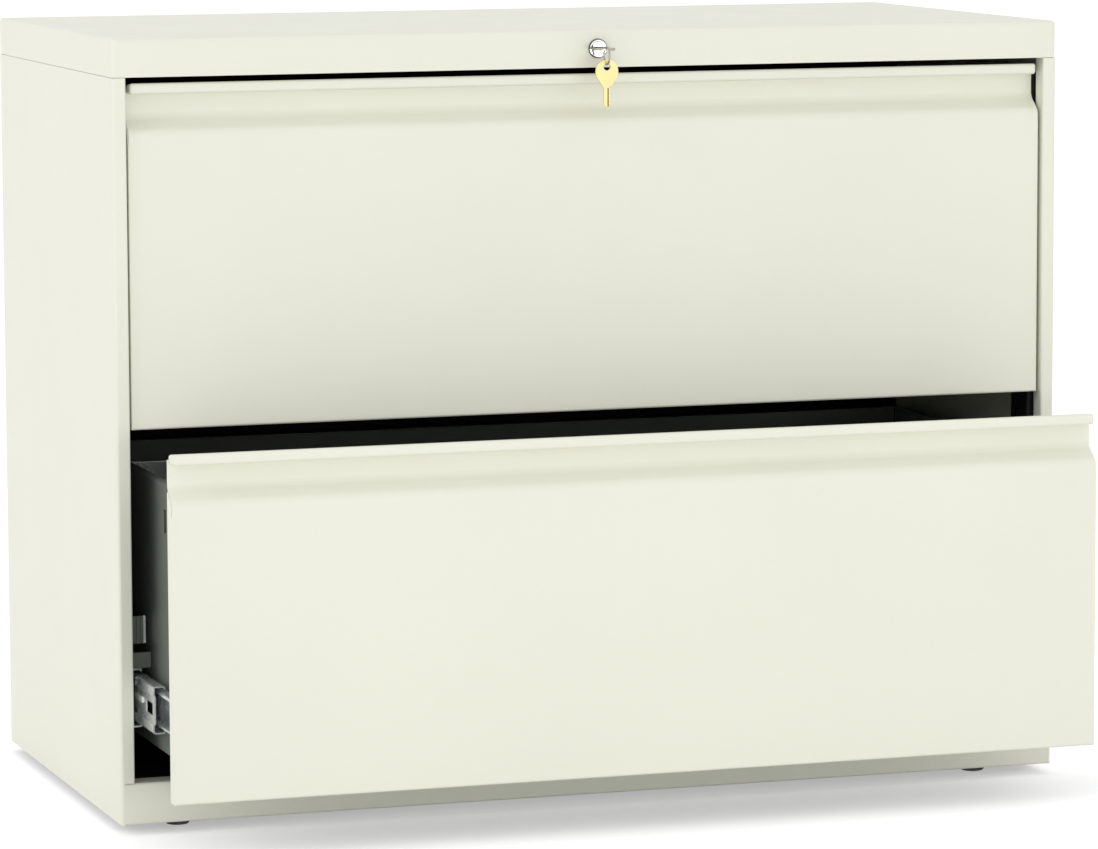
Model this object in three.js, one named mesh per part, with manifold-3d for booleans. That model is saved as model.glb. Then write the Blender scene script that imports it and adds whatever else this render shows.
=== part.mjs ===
// Two-drawer lateral filing cabinet, built piece by piece in millimetres with +Z up.
// X runs along the front, Y from the front to the back. The case front is the plane y = 0 of the cabinet
// group. The whole stands on the floor at z = 0, its upper drawer shut and its lower drawer part way out.
import * as THREE from 'three';
import { mergeVertices } from 'three/addons/utils/BufferGeometryUtils.js';
import Module from 'manifold-3d';

// Case
const caseWidth = 914.4;
const caseDepth = 457.2;
const caseHeight = 711.2; // underside of the base to the top of the cap
const caseSheet = 1.0;
const frontCornerRadius = 3.0; // inside radius of the two front upright corners
const bendRadius = 1.2; // inside radius of the other sheet bends
const postWidth = 13.0; // front face beside the drawers
const jambDepth = 17.0;
const rearReturn = 16.0;
const capHeight = 34.7;
const capEdgeRadius = 3.0;
const capCornerRadius = 4.0;
const capFlangeDepth = 21.0;
const baseRailHeight = 38.0;
const baseRailFlange = 25.0;
const seamGap = 0.6; // open seam where two painted panels meet
const tongueLap = 10.0; // how far a side panel's tongue laps its skin
const tongueSetback = 26.0; // tongue ends, from the front and the back of the case
const panFlange = 30.0;
const backFlange = 12.0;
const cornerRelief = 2.0; // notch in the rear corners of the bottom pan
const fit = 0.3; // clearance between pieces that seat on each other

// Base
const glideHeight = 9.5; // floor to the underside of the base
const glideFootRadius = 11.5;
const glideFootHeight = 5.5;
const glideFootEdge = 1.4;
const glideNutRadius = 7.0;
const glideNutHeight = 4.5;
const glideStemRadius = 4.0;
const glideStemRise = 14.0; // stem above the channel floor
const glideInset = 63.0; // glide centre from the side
const glideSetback = 44.0; // glide centre from the front, and from the back
const channelWidth = 48.0;
const channelFloorRise = 2.5; // channel floor above the underside of the base
const channelSheet = 1.5;
const counterweightLength = 760.0;
const counterweightDepth = 160.0;
const counterweightHeight = 22.0;
const counterweightGap = 10.0; // to the rear base channel
const counterweightChamfer = 8.0;

// Uprights
const uprightWidth = 16.0;
const uprightDepth = 40.0;
const uprightSheet = 1.2;
const uprightClearance = 1.0; // behind the deepest part of a shut drawer's pull
const uprightTopGap = 12.0; // below the cap
const uprightRearGap = 24.0; // rear upright to the back of the case
const uprightSlotWidth = 5.0;
const uprightSlotHeight = 18.0;
const uprightSlotPitch = 63.5;
const uprightSlotRear = 9.0; // slot to the rear edge of the upright

// Drawers
const drawerGap = 4.2; // cap to drawer, drawer to drawer, drawer to base rail
const drawerSetback = 5.0; // drawer face behind the case front
const headSideGap = 2.5;
const headSheet = 1.0;
const headReturnDepth = 12.0;
const pullLipHeight = 10.3;
const pullLipSetback = 0.0; // lip behind the drawer face
const pullLipInset = 2.6; // each end of the lip, from the end of the head
const pullLipRadius = 2.4;
const pullDepth = 16.0;
const pullWallRadius = 3.0;
const pullSweepRadius = 9.5;
const pullSweepTop = 33.0; // where the back wall of the pull turns forward, below the top of the head
const pullSweepBottom = 45.0; // where it turns down into the face
const headHemDepth = 19.5;
const headHemDrop = 64.0; // laps the front wall of the drawer pan
const drawerSheet = 1.0;
const sideDrop = 41.0; // top of the drawer side, below the top of the head
const sideRise = 25.0; // bottom of the drawer side, above the bottom of the head
const sideTopFlange = 8.0;
const sideBottomFlange = 12.0;
const panHem = 10.0;
const drawerRearGap = 12.0; // drawer to the back of the case
const lowerDrawerOpen = 140.0; // how far the lower drawer stands out

// Hang rails and their slots in the drawer sides
const railSlotWidth = 8.0;
const railSlotHeight = 16.5;
const railSlotDrop = 20.0; // top of the slot, below the top of the drawer side
const railSpacing = 313.0;
const railRearGap = 32.0; // rear rail to the back of the drawer
const legalSlotLead = 63.0; // spare slot in front of the front rail
const railThickness = 2.6;
const railHeight = 24.0;
const railTabHeight = 12.0;
const railTabReach = 1.0; // tab past the outside of the drawer side

// Slides: cabinet, intermediate and drawer members, one inside the other
const slideHeight = 54.0;
const slideThickness = 19.0;
const slideSheet = 1.4;
const slideLip = 3.0;
const slideBendRadius = 0.35;
const slideRise = 44.0; // slide centre above the bottom of the drawer side
const slideRearGap = 21.0; // slide end to the back of the case
const slideWindowLength = 14.0;
const slideWindowHeight = 11.0;
const slideWindowLead = 16.0; // window centre from the front end
const cabinetMemberReach = 10.5; // flange length from the upright
const middleMemberStart = 3.0;
const middleMemberReach = 14.5;
const drawerMemberStart = 9.0;
const ballRadius = 1.6;
const ballsInRow = 4;
const ballPitch = 44.0;
const cageSheet = 0.8;
const cageBendRadius = 0.4;
const cageLead = 105.0; // cage front from the slide front, drawer shut
const cageOverhang = 10.0; // cage past its end balls
const bracketHeight = 25.0;
const bracketRise = 50.0; // bottom of the bracket's flange above the slide centre
const bracketWidth = 40.0;
const bracketReach = 15.0;
const bracketSetback = 2.0;

// Lock, keys and interlock
const lockDrop = 17.3; // lock centre below the top of the cap
const lockFaceRadius = 8.9;
const lockFaceProud = 2.2;
const lockFaceEdge = 0.7;
const lockBarrelRadius = 8.0;
const lockBarrelLength = 28.0;
const lockNutRadius = 12.0;
const lockNutThickness = 4.0;
const plugRadius = 6.0;
const plugProud = 0.8; // plug face in front of the lock face
const plugTail = 2.0; // plug behind the barrel
const camHubRadius = 6.0;
const camArm = 10.0;
const camThickness = 2.0;
const camTipRadius = 4.0;
const linkPinRadius = 2.0;
const linkPinSlack = 0.5; // round each pin in its slot
const linkThickness = 2.0;
const linkHeight = 20.0;
const linkGap = 3.5; // cam to link bar
const linkEnd = 5.0; // link bar past the middle of its end slots
const linkFoot = 5.0; // link bar below the cam pin's slot
const interlockDrop = 6.0; // how far the catches drop when the lock turns a quarter
const interlockBarWidth = 8.0;
const interlockBarThickness = 4.0;
const interlockBarInset = 4.0; // bar from the outside of the case
const catchThickness = 4.0;
const catchHeight = 14.0;
const catchReachGap = 1.5; // catch to the drawer side
const catchClearance = 0.6; // catch above the slide when down, and above the striker when up
const catchToSlide = 1.5; // catch to the front end of the slide
const strikerLength = 14.0;
const armHeight = 12.0;
const armThickness = 2.5;
const armPinReach = 25.0; // pin from the interlock bar
const armRise = 10.3; // bottom of the arm above the top of the upper drawer
const keyThickness = 2.0;
const keyBowRadius = 10.8;
const keyHoleRadius = 3.4;
const keyHoleRim = 3.1;
const keyBladeWidth = 7.6;
const keyLength = 44.2;
const keyShoulder = 2.0; // bow to the face of the plug
const keyBowGap = 0.5;
const keyCutDepth = 1.4;
const keyShallowCutDepth = 0.84;
const keyCutCount = 5;
const keyCutPitch = 3.4;
const keyTip = 3.0;
const ringInnerRadius = 7.0;
const ringWireRadius = 0.9;

// Fineness of round stretches
const bendStep = Math.PI / 6;
const pullBendStep = Math.PI / 10;
const roundSides = 20;
const smallRoundSides = 12;
const hexSides = 6;
const arcSegments = 6; // in each arc of an extruded shape
const capCornerSegments = 4;
const ballSides = 6;
const ballRings = 4;
const ringSteps = 24;
const ringSides = 6;
const overcut = 1.0; // how far a cutting tool runs past the face that it opens

// Levels and planes that follow from those sizes
const half = caseWidth / 2;
const baseZ = glideHeight;
const topZ = baseZ + caseHeight;
const capZ = topZ - capHeight;
const baseRailZ = baseZ + baseRailHeight;
const headHeight = (capZ - baseRailZ - 3 * drawerGap) / 2;
const headWidth = caseWidth - 2 * (postWidth + headSideGap);
const upperHeadTop = capZ - drawerGap;
const lowerHeadTop = upperHeadTop - headHeight - drawerGap;
const innerX = half - caseSheet - fit;
const innerBack = caseDepth - caseSheet - fit;
const tongueTop = topZ - capEdgeRadius; // below the cap's rolled edge
const panTop = baseRailZ - caseSheet - fit;
const panUnderside = panTop - caseSheet;
const uprightFront = drawerSetback + pullDepth + headSheet + uprightClearance;
const uprightFaceX = innerX - uprightWidth;
const uprightBottom = baseRailZ + fit;
const uprightTop = capZ - uprightTopGap;
const uprightSlotCount = Math.floor((uprightTop - uprightBottom) / uprightSlotPitch);
const slideMountX = uprightFaceX - fit;
const drawerSideX = slideMountX - slideThickness - fit;
const interlockFront = uprightFront + uprightSheet + fit;
const slideFront = interlockFront + catchThickness + catchToSlide;
const slideLength = caseDepth - slideRearGap - slideFront;
const cabinetMemberHalf = slideHeight / 2;
const ballGap = 2 * (ballRadius + fit);
const middleMemberHalf = cabinetMemberHalf - slideSheet - ballGap;
const drawerMemberHalf = middleMemberHalf - slideSheet - ballGap;
const cageLength = (ballsInRow - 1) * ballPitch + 2 * cageOverhang;
const bodyFront = headHemDepth + fit; // measured from the drawer face, as the next ones are
const bodyRear = caseDepth - drawerSetback - drawerRearGap;
const sideTop = -sideDrop; // measured from the top of the head, as the next ones are
const sideBottom = sideRise - headHeight;
const slideCentre = sideBottom + slideRise;
const strikerTop = middleMemberHalf + interlockDrop; // above the slide centre
const catchBottom = strikerTop + catchClearance;
const rearRailY = bodyRear - railRearGap;
const frontRailY = rearRailY - railSpacing;
const lockZ = topZ - lockDrop;
const linkTravel = camArm * Math.SQRT2; // the cam pin swings a quarter turn, from one diagonal to the other
const camY = lockBarrelLength + plugTail + fit;
const linkY = camY + camThickness + linkGap;
const linkZ = lockZ - camArm - linkPinRadius - linkPinSlack - linkFoot;
const plugFaceY = -lockFaceProud - plugProud;
const keyBowY = plugFaceY - keyBowGap - keyShoulder - keyBowRadius;
const keyHoleOffset = keyBowRadius - keyHoleRim - keyHoleRadius;
const keyFront = keyBowY - keyBowRadius;
const keyRimY = keyFront + keyHoleRim / 2;
const ringSag = ringInnerRadius - Math.sqrt(ringInnerRadius ** 2 - (keyHoleRim / 2) ** 2);
const ringZ = lockZ + keyThickness / 2 + fit + ringSag - ringInnerRadius;
const frontmost = Math.min(drawerSetback - lowerDrawerOpen, keyRimY - ringInnerRadius - 2 * ringWireRadius);

// Finishes
const puttyPaint = new THREE.MeshStandardMaterial({ color: 0xe9e8db, roughness: 0.42, metalness: 0.0 });
const darkPaint = new THREE.MeshStandardMaterial({ color: 0x55595a, roughness: 0.55, metalness: 0.0 });
const blackPaint = new THREE.MeshStandardMaterial({ color: 0x2b2c2d, roughness: 0.6, metalness: 0.0 });
const zincPlate = new THREE.MeshStandardMaterial({ color: 0xb9bcbd, roughness: 0.35, metalness: 1.0 });
const rawSteel = new THREE.MeshStandardMaterial({ color: 0x6f7173, roughness: 0.6, metalness: 1.0 });
const chrome = new THREE.MeshStandardMaterial({ color: 0xd6d7d8, roughness: 0.15, metalness: 1.0 });
const keySteel = new THREE.MeshStandardMaterial({ color: 0xc2c2be, roughness: 0.3, metalness: 1.0 });
const blackPlastic = new THREE.MeshStandardMaterial({ color: 0x1d1d1e, roughness: 0.5, metalness: 0.0 });

const wasm = await Module();
wasm.setup();

// Solids: joining and cutting closed geometries

function welded(geometry) {
  const bare = geometry.clone();
  bare.deleteAttribute('normal');
  bare.deleteAttribute('uv');
  return mergeVertices(bare);
}

function toSolid(geometry) {
  const shape = welded(geometry);
  const vertProperties = Float32Array.from(shape.attributes.position.array);
  const triVerts = Uint32Array.from(shape.index.array);
  return new wasm.Manifold(new wasm.Mesh({ numProp: 3, vertProperties, triVerts }));
}

function toGeometry(solid) {
  const mesh = solid.getMesh();
  const geometry = new THREE.BufferGeometry();
  geometry.setAttribute('position', new THREE.BufferAttribute(mesh.vertProperties, 3));
  geometry.setIndex(new THREE.BufferAttribute(mesh.triVerts, 1));
  geometry.computeVertexNormals();
  return geometry;
}

function join(first, ...others) {
  return toGeometry(others.reduce((sum, next) => sum.add(toSolid(next)), toSolid(first)));
}

function cut(body, ...tools) {
  return toGeometry(tools.reduce((rest, tool) => rest.subtract(toSolid(tool)), toSolid(body)));
}

function mirrored(geometry) {
  const copy = welded(geometry).scale(-1, 1, 1);
  const index = copy.index.array;
  for (let i = 0; i < index.length; i += 3) {
    [index[i], index[i + 1]] = [index[i + 1], index[i]];
  }
  copy.computeVertexNormals();
  return copy;
}

// Shapes and extrusions along each axis

const alongX = new THREE.Matrix4().makeBasis(
  new THREE.Vector3(0, 1, 0),
  new THREE.Vector3(0, 0, 1),
  new THREE.Vector3(1, 0, 0),
);
const alongY = new THREE.Matrix4().makeBasis(
  new THREE.Vector3(1, 0, 0),
  new THREE.Vector3(0, 0, 1),
  new THREE.Vector3(0, -1, 0),
);

function extrude(shape, depth) {
  return new THREE.ExtrudeGeometry(shape, { depth, bevelEnabled: false, curveSegments: arcSegments });
}

// The shape's plane is (Y, Z).
function extrudeX(shape, x0, x1) {
  return extrude(shape, x1 - x0).applyMatrix4(alongX).translate(x0, 0, 0);
}

// The shape's plane is (X, Z).
function extrudeY(shape, y0, y1) {
  return extrude(shape, y1 - y0).applyMatrix4(alongY).translate(0, y1, 0);
}

// The shape's plane is (X, Y).
function extrudeZ(shape, z0, z1) {
  return extrude(shape, z1 - z0).translate(0, 0, z0);
}

function block(x0, x1, y0, y1, z0, z1) {
  const box = new THREE.BoxGeometry(x1 - x0, y1 - y0, z1 - z0);
  return box.translate((x0 + x1) / 2, (y0 + y1) / 2, (z0 + z1) / 2);
}

// A round bar along Y.
function barY(radius, y0, y1, x, z, sides = smallRoundSides) {
  return new THREE.CylinderGeometry(radius, radius, y1 - y0, sides).translate(x, (y0 + y1) / 2, z);
}

// A round bar along Z.
function barZ(radius, z0, z1, x, y, sides = smallRoundSides) {
  const bar = new THREE.CylinderGeometry(radius, radius, z1 - z0, sides).rotateX(Math.PI / 2);
  return bar.translate(x, y, (z0 + z1) / 2);
}

// A turned piece whose profile of [radius, height] points runs up its axis, which lies along Y.
function turnedY(profile, sides = roundSides) {
  const points = profile.map(([radius, height]) => new THREE.Vector2(radius, height));
  return new THREE.LatheGeometry(points, sides);
}

// A slot with round ends between two points of its plane.
function slotShape(start, end, radius) {
  const along = end.clone().sub(start);
  const turn = along.angle();
  const shape = new THREE.Shape();
  shape.absarc(end.x, end.y, radius, turn - Math.PI / 2, turn + Math.PI / 2, false);
  shape.absarc(start.x, start.y, radius, turn + Math.PI / 2, turn + 1.5 * Math.PI, false);
  shape.closePath();
  return shape;
}

// The outline of a bent sheet. One face follows the points; the sheet lies to the left of that path, or to
// its right for a negative thickness. Each bend turns about one centre, with the inside radius of its corner.
function bentSheet(points, thickness, insideRadii, step = bendStep) {
  const corners = points.map(([a, b]) => new THREE.Vector2(a, b));
  const side = Math.sign(thickness);
  const depth = Math.abs(thickness);
  const heading = corners.slice(1).map((corner, i) => corner.clone().sub(corners[i]).normalize());
  const leftOf = (direction) => new THREE.Vector2(-direction.y, direction.x);
  const backOf = (corner, direction) => corner.clone().addScaledVector(leftOf(direction), side * depth);
  const last = corners.length - 1;
  const face = [corners[0]];
  const back = [backOf(corners[0], heading[0])];
  for (let i = 1; i < last; i += 1) {
    const turn = Math.atan2(heading[i - 1].cross(heading[i]), heading[i - 1].dot(heading[i]));
    const inside = Array.isArray(insideRadii) ? insideRadii[i - 1] : insideRadii;
    const sheetInside = Math.sign(turn) === side;
    const faceRadius = sheetInside ? inside + depth : inside;
    const backRadius = sheetInside ? inside : inside + depth;
    const tangent = faceRadius * Math.tan(Math.abs(turn) / 2);
    const start = corners[i].clone().addScaledVector(heading[i - 1], -tangent);
    const outward = leftOf(heading[i - 1]).multiplyScalar(-Math.sign(turn));
    const centre = start.clone().addScaledVector(outward, -faceRadius);
    const steps = Math.max(1, Math.round(Math.abs(turn) / step));
    for (let k = 0; k <= steps; k += 1) {
      const arm = outward.clone().rotateAround(new THREE.Vector2(), (turn * k) / steps);
      face.push(centre.clone().addScaledVector(arm, faceRadius));
      back.push(centre.clone().addScaledVector(arm, backRadius));
    }
  }
  face.push(corners[last]);
  back.push(backOf(corners[last], heading[last - 1]));
  return new THREE.Shape([...face, ...back.reverse()]);
}

// A solid through a stack of convex outlines with equal numbers of points, listed from the bottom up.
function loft(outlines) {
  const count = outlines[0].points.length;
  const positions = outlines.flatMap(({ points, z }) => points.flatMap((point) => [point.x, point.y, z]));
  const index = [];
  for (let ring = 0; ring + 1 < outlines.length; ring += 1) {
    for (let i = 0; i < count; i += 1) {
      const low = ring * count + i;
      const lowNext = ring * count + ((i + 1) % count);
      index.push(low, lowNext, low + count, lowNext, lowNext + count, low + count);
    }
  }
  const top = (outlines.length - 1) * count;
  for (let i = 1; i + 1 < count; i += 1) {
    index.push(0, i + 1, i, top, top + i, top + i + 1);
  }
  const geometry = new THREE.BufferGeometry();
  geometry.setAttribute('position', new THREE.Float32BufferAttribute(positions, 3));
  geometry.setIndex(index);
  return geometry;
}

// Case pieces

function sidePanel() {
  const skin = bentSheet(
    [
      [postWidth - half, jambDepth],
      [postWidth - half, 0],
      [-half, 0],
      [-half, caseDepth],
      [rearReturn - half, caseDepth],
    ],
    -caseSheet,
    [bendRadius, frontCornerRadius, bendRadius],
  );
  const skinTop = capZ - seamGap;
  const corner = frontCornerRadius + caseSheet;
  const railNotch = block(
    corner - half,
    postWidth - half + overcut,
    -overcut,
    jambDepth + overcut,
    baseZ - overcut,
    baseRailZ + seamGap,
  );
  const tongueFront = tongueSetback;
  const tongueRear = caseDepth - tongueSetback;
  const lapX = -half + caseSheet / 2;
  const tongueX = -innerX;
  const tongue = block(tongueX, tongueX + caseSheet, tongueFront, tongueRear, skinTop - tongueLap, tongueTop);
  const lap = block(lapX, tongueX + caseSheet, tongueFront, tongueRear, skinTop - tongueLap, skinTop - fit);
  return join(cut(extrudeZ(skin, baseZ, skinTop), railNotch), lap, tongue);
}

function roundedRectangle(halfWidth, y0, y1, radius) {
  const shape = new THREE.Shape();
  shape.absarc(halfWidth - radius, y0 + radius, radius, -Math.PI / 2, 0, false);
  shape.absarc(halfWidth - radius, y1 - radius, radius, 0, Math.PI / 2, false);
  shape.absarc(radius - halfWidth, y1 - radius, radius, Math.PI / 2, Math.PI, false);
  shape.absarc(radius - halfWidth, y0 + radius, radius, Math.PI, 1.5 * Math.PI, false);
  return shape.extractPoints(capCornerSegments).shape;
}

// A lid-shaped solid with rolled top edges, inset on all sides.
function lidSolid(inset, bottom, top, edgeRadius, cornerRadius) {
  const outlineAt = (more, z) => {
    const in_ = inset + more;
    return { points: roundedRectangle(half - in_, in_, caseDepth - in_, cornerRadius - more), z };
  };
  const outlines = [outlineAt(0, bottom)];
  const steps = Math.round(Math.PI / 2 / bendStep);
  for (let k = 0; k <= steps; k += 1) {
    const angle = (Math.PI / 2) * (k / steps);
    outlines.push(outlineAt(edgeRadius * (1 - Math.cos(angle)), top - edgeRadius * (1 - Math.sin(angle))));
  }
  return loft(outlines);
}

function topCap() {
  const outside = lidSolid(0, capZ, topZ, capEdgeRadius, capCornerRadius);
  const innerEdge = capEdgeRadius - caseSheet;
  const innerCorner = capCornerRadius - caseSheet;
  const inside = lidSolid(caseSheet, capZ - overcut, topZ - caseSheet, innerEdge, innerCorner);
  const flangeX = innerX - capCornerRadius;
  const flange = block(-flangeX, flangeX, caseSheet / 2, capFlangeDepth, capZ, capZ + caseSheet);
  const lockHole = barY(lockBarrelRadius + fit, -overcut, 2 * caseSheet, 0, lockZ, roundSides);
  return cut(join(cut(outside, inside), flange), lockHole);
}

function backPanel() {
  const section = bentSheet(
    [
      [-innerX, innerBack - backFlange],
      [-innerX, innerBack],
      [innerX, innerBack],
      [innerX, innerBack - backFlange],
    ],
    -caseSheet,
    capCornerRadius - 2 * caseSheet,
  );
  return extrudeZ(section, panTop + fit, tongueTop);
}

function baseFrontRail() {
  const section = bentSheet(
    [
      [baseRailFlange, baseRailZ],
      [0, baseRailZ],
      [0, baseZ],
      [baseRailFlange, baseZ],
    ],
    caseSheet,
    bendRadius,
  );
  const end = half - frontCornerRadius - caseSheet - fit;
  return extrudeX(section, -end, end);
}

function bottomPan() {
  const section = bentSheet(
    [
      [-innerX, panTop - panFlange],
      [-innerX, panTop],
      [innerX, panTop],
      [innerX, panTop - panFlange],
    ],
    -caseSheet,
    bendRadius,
  );
  const front = frontCornerRadius + 2 * caseSheet;
  const low = panTop - panFlange;
  const floor = extrudeY(section, front, innerBack);
  const rear = block(-innerX, innerX, innerBack - caseSheet, innerBack, low, panTop - caseSheet / 2);
  const reliefX = innerX - cornerRelief;
  const reliefY = innerBack - cornerRelief;
  const relief = (x0, x1) => block(x0, x1, reliefY, caseDepth, low - overcut, panTop + overcut);
  return cut(join(floor, rear), relief(-half, -reliefX), relief(reliefX, half));
}

// A channel across the base, open at the top, with holes for its two glides. Its middle is at y = 0.
function baseChannel() {
  const floorZ = baseZ + channelFloorRise;
  const rimZ = panUnderside - fit;
  const section = bentSheet(
    [
      [-channelWidth / 2, rimZ],
      [-channelWidth / 2, floorZ],
      [channelWidth / 2, floorZ],
      [channelWidth / 2, rimZ],
    ],
    channelSheet,
    bendRadius,
  );
  const end = innerX - caseSheet - bendRadius - fit;
  const holeX = half - glideInset;
  const hole = (x) => barZ(glideStemRadius + fit, floorZ - overcut, floorZ + channelSheet + overcut, x, 0);
  return cut(extrudeX(section, -end, end), hole(-holeX), hole(holeX));
}

function counterweight() {
  const x = counterweightLength / 2;
  const y = counterweightDepth / 2;
  const outline = new THREE.Shape([
    new THREE.Vector2(counterweightChamfer - x, -y),
    new THREE.Vector2(x - counterweightChamfer, -y),
    new THREE.Vector2(x, counterweightChamfer - y),
    new THREE.Vector2(x, y - counterweightChamfer),
    new THREE.Vector2(x - counterweightChamfer, y),
    new THREE.Vector2(counterweightChamfer - x, y),
    new THREE.Vector2(-x, y - counterweightChamfer),
    new THREE.Vector2(-x, counterweightChamfer - y),
  ]);
  const top = panUnderside - fit;
  return extrudeZ(outline, top - counterweightHeight, top);
}

// A glide with its foot on the floor and its axis at the origin.
function glide() {
  const nutTop = baseZ + channelFloorRise - fit;
  const stemTop = baseZ + channelFloorRise + channelSheet + glideStemRise;
  const profile = [
    [0, 0],
    [glideFootRadius - glideFootEdge, 0],
    [glideFootRadius, glideFootEdge],
    [glideFootRadius, glideFootHeight - glideFootEdge],
    [glideFootRadius - glideFootEdge, glideFootHeight],
    [glideStemRadius, glideFootHeight],
    [glideStemRadius, nutTop - glideNutHeight],
    [glideStemRadius, stemTop],
    [0, stemTop],
  ];
  const screw = turnedY(profile, roundSides).rotateX(Math.PI / 2);
  const nut = barZ(glideNutRadius, nutTop - glideNutHeight, nutTop, 0, 0, hexSides);
  return join(screw, nut);
}

// A left upright: a slotted channel whose web faces the drawers and whose front is at y = 0.
function upright(openings) {
  const section = bentSheet(
    [
      [-innerX, 0],
      [-uprightFaceX, 0],
      [-uprightFaceX, uprightDepth],
      [-innerX, uprightDepth],
    ],
    uprightSheet,
    bendRadius,
  );
  const slotY = uprightDepth - uprightSlotRear - uprightSlotWidth;
  const firstSlot = uprightBottom + uprightSlotPitch / 2;
  const through = [-uprightFaceX - uprightSheet - overcut, -uprightFaceX + overcut];
  const slots = Array.from({ length: uprightSlotCount }, (_, i) => {
    const z = firstSlot + i * uprightSlotPitch;
    return block(...through, slotY, slotY + uprightSlotWidth, z, z + uprightSlotHeight);
  });
  const windows = openings.map(([y0, y1, z0, z1]) => block(...through, y0, y1, z0, z1));
  return cut(extrudeZ(section, uprightBottom, uprightTop), ...slots, ...windows);
}

// Openings in the front left upright for the catches of the interlock bar.
function catchWindows() {
  const y0 = interlockFront - uprightFront;
  return [upperHeadTop, lowerHeadTop].map((headTop) => {
    const z = headTop + slideCentre + catchBottom;
    const low = z - interlockDrop - overcut;
    return [y0 - fit, y0 + catchThickness + overcut, low, z + catchHeight + overcut];
  });
}

// Drawer pieces, from the drawer face at y = 0 and the top of the drawer head at z = 0

function drawerHead() {
  const section = bentSheet(
    [
      [headHemDepth, -headHemDrop],
      [headHemDepth, 0],
      [pullLipSetback, 0],
      [pullLipSetback, -pullLipHeight],
      [pullDepth, -pullLipHeight],
      [pullDepth, -pullSweepTop],
      [0, -pullSweepBottom],
      [0, -headHeight],
      [headReturnDepth, -headHeight],
    ],
    headSheet,
    [
      bendRadius,
      pullLipRadius,
      pullLipRadius,
      pullWallRadius,
      pullSweepRadius,
      pullSweepRadius,
      bendRadius,
      bendRadius,
    ],
    pullBendStep,
  );
  const end = headWidth / 2;
  const lipEnd = end - pullLipInset;
  const sheet = extrudeX(section, -end, end);
  const trims = [-1, 1].flatMap((side) => {
    const span = (from) => (side < 0 ? [-end - overcut, -from] : [from, end + overcut]);
    const rear = headHemDepth + overcut;
    const lipTrim = block(...span(lipEnd), -overcut, rear, -pullLipHeight - fit, overcut);
    const hemBottom = -headHemDrop - overcut;
    const hemTrim = block(...span(drawerSideX), pullDepth + headSheet, rear, hemBottom, overcut);
    return [lipTrim, hemTrim];
  });
  const returnTop = -pullSweepBottom - pullSweepRadius;
  const mid = headSheet / 2;
  const endPlates = [-end, end - headSheet].map((x) =>
    block(x, x + headSheet, mid, headReturnDepth, mid - headHeight, returnTop));
  const lipPlates = [-lipEnd, lipEnd - headSheet].map((x) =>
    block(x, x + headSheet, pullLipSetback + mid, pullDepth, mid - pullLipHeight, -mid));
  return join(cut(sheet, ...trims), ...endPlates, ...lipPlates);
}

function drawerPan() {
  const floor = sideBottom + drawerSheet + fit;
  const rim = sideTop - drawerSheet - fit;
  const section = bentSheet(
    [
      [bodyFront + panHem, rim],
      [bodyFront, rim],
      [bodyFront, floor],
      [bodyRear, floor],
      [bodyRear, rim],
      [bodyRear - panHem, rim],
    ],
    drawerSheet,
    bendRadius,
  );
  const end = drawerSideX - drawerSheet - bendRadius - fit;
  return extrudeX(section, -end, end);
}

// The left drawer side, with slots for the hang rails.
function drawerSide() {
  const section = bentSheet(
    [
      [sideBottomFlange - drawerSideX, sideBottom],
      [-drawerSideX, sideBottom],
      [-drawerSideX, sideTop],
      [sideTopFlange - drawerSideX, sideTop],
    ],
    -drawerSheet,
    bendRadius,
  );
  const slotTop = sideTop - railSlotDrop;
  const slots = [frontRailY - legalSlotLead, frontRailY, rearRailY].map((y) =>
    block(
      -drawerSideX - overcut,
      -drawerSideX + drawerSheet + overcut,
      y - railSlotWidth / 2,
      y + railSlotWidth / 2,
      slotTop - railSlotHeight,
      slotTop,
    ));
  return cut(extrudeY(section, bodyFront, bodyRear), ...slots);
}

// A hang rail across the drawer, its middle at y = 0, with a tab in a slot at each end and a round top edge.
function hangRail() {
  const tabBottom = sideTop - railSlotDrop - railSlotHeight + fit;
  const railBottom = tabBottom + railTabHeight / 2 - railHeight / 2;
  const radius = railThickness / 2;
  const section = new THREE.Shape();
  section.moveTo(-radius, railBottom);
  section.lineTo(radius, railBottom);
  section.absarc(0, railBottom + railHeight - radius, radius, 0, Math.PI, false);
  section.closePath();
  const end = drawerSideX - drawerSheet - fit;
  const tabEnd = drawerSideX + railTabReach;
  const tab = block(-tabEnd, tabEnd, -radius + fit, radius - fit, tabBottom, tabBottom + railTabHeight);
  return join(extrudeX(section, -end, end), tab);
}

// Slide members on the left: x from the upright towards the drawer, y from the front end, z from mid height

function channelSection(start, reach, halfHeight) {
  return bentSheet(
    [
      [reach, halfHeight - slideLip],
      [reach, halfHeight],
      [start, halfHeight],
      [start, -halfHeight],
      [reach, -halfHeight],
      [reach, slideLip - halfHeight],
    ],
    (reach > start ? 1 : -1) * slideSheet,
    slideBendRadius,
  );
}

function cabinetMember() {
  const channel = extrudeY(channelSection(0, cabinetMemberReach, cabinetMemberHalf), 0, slideLength);
  const bracketTop = bracketRise + bracketHeight;
  const bracketEnd = bracketSetback + bracketWidth;
  const plate = block(0, slideSheet, bracketSetback, bracketEnd, cabinetMemberHalf - slideLip, bracketTop);
  const flange = block(0, bracketReach, bracketSetback, bracketSetback + slideSheet, bracketRise, bracketTop);
  return join(channel, plate, flange);
}

function middleMember() {
  const section = channelSection(middleMemberStart, middleMemberReach, middleMemberHalf);
  const channel = extrudeY(section, 0, slideLength);
  const window = (y) =>
    block(
      middleMemberStart - overcut,
      middleMemberStart + slideSheet + overcut,
      y - slideWindowLength / 2,
      y + slideWindowLength / 2,
      -slideWindowHeight / 2,
      slideWindowHeight / 2,
    );
  return cut(channel, window(slideWindowLead), window(slideLength - slideWindowLead));
}

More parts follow.
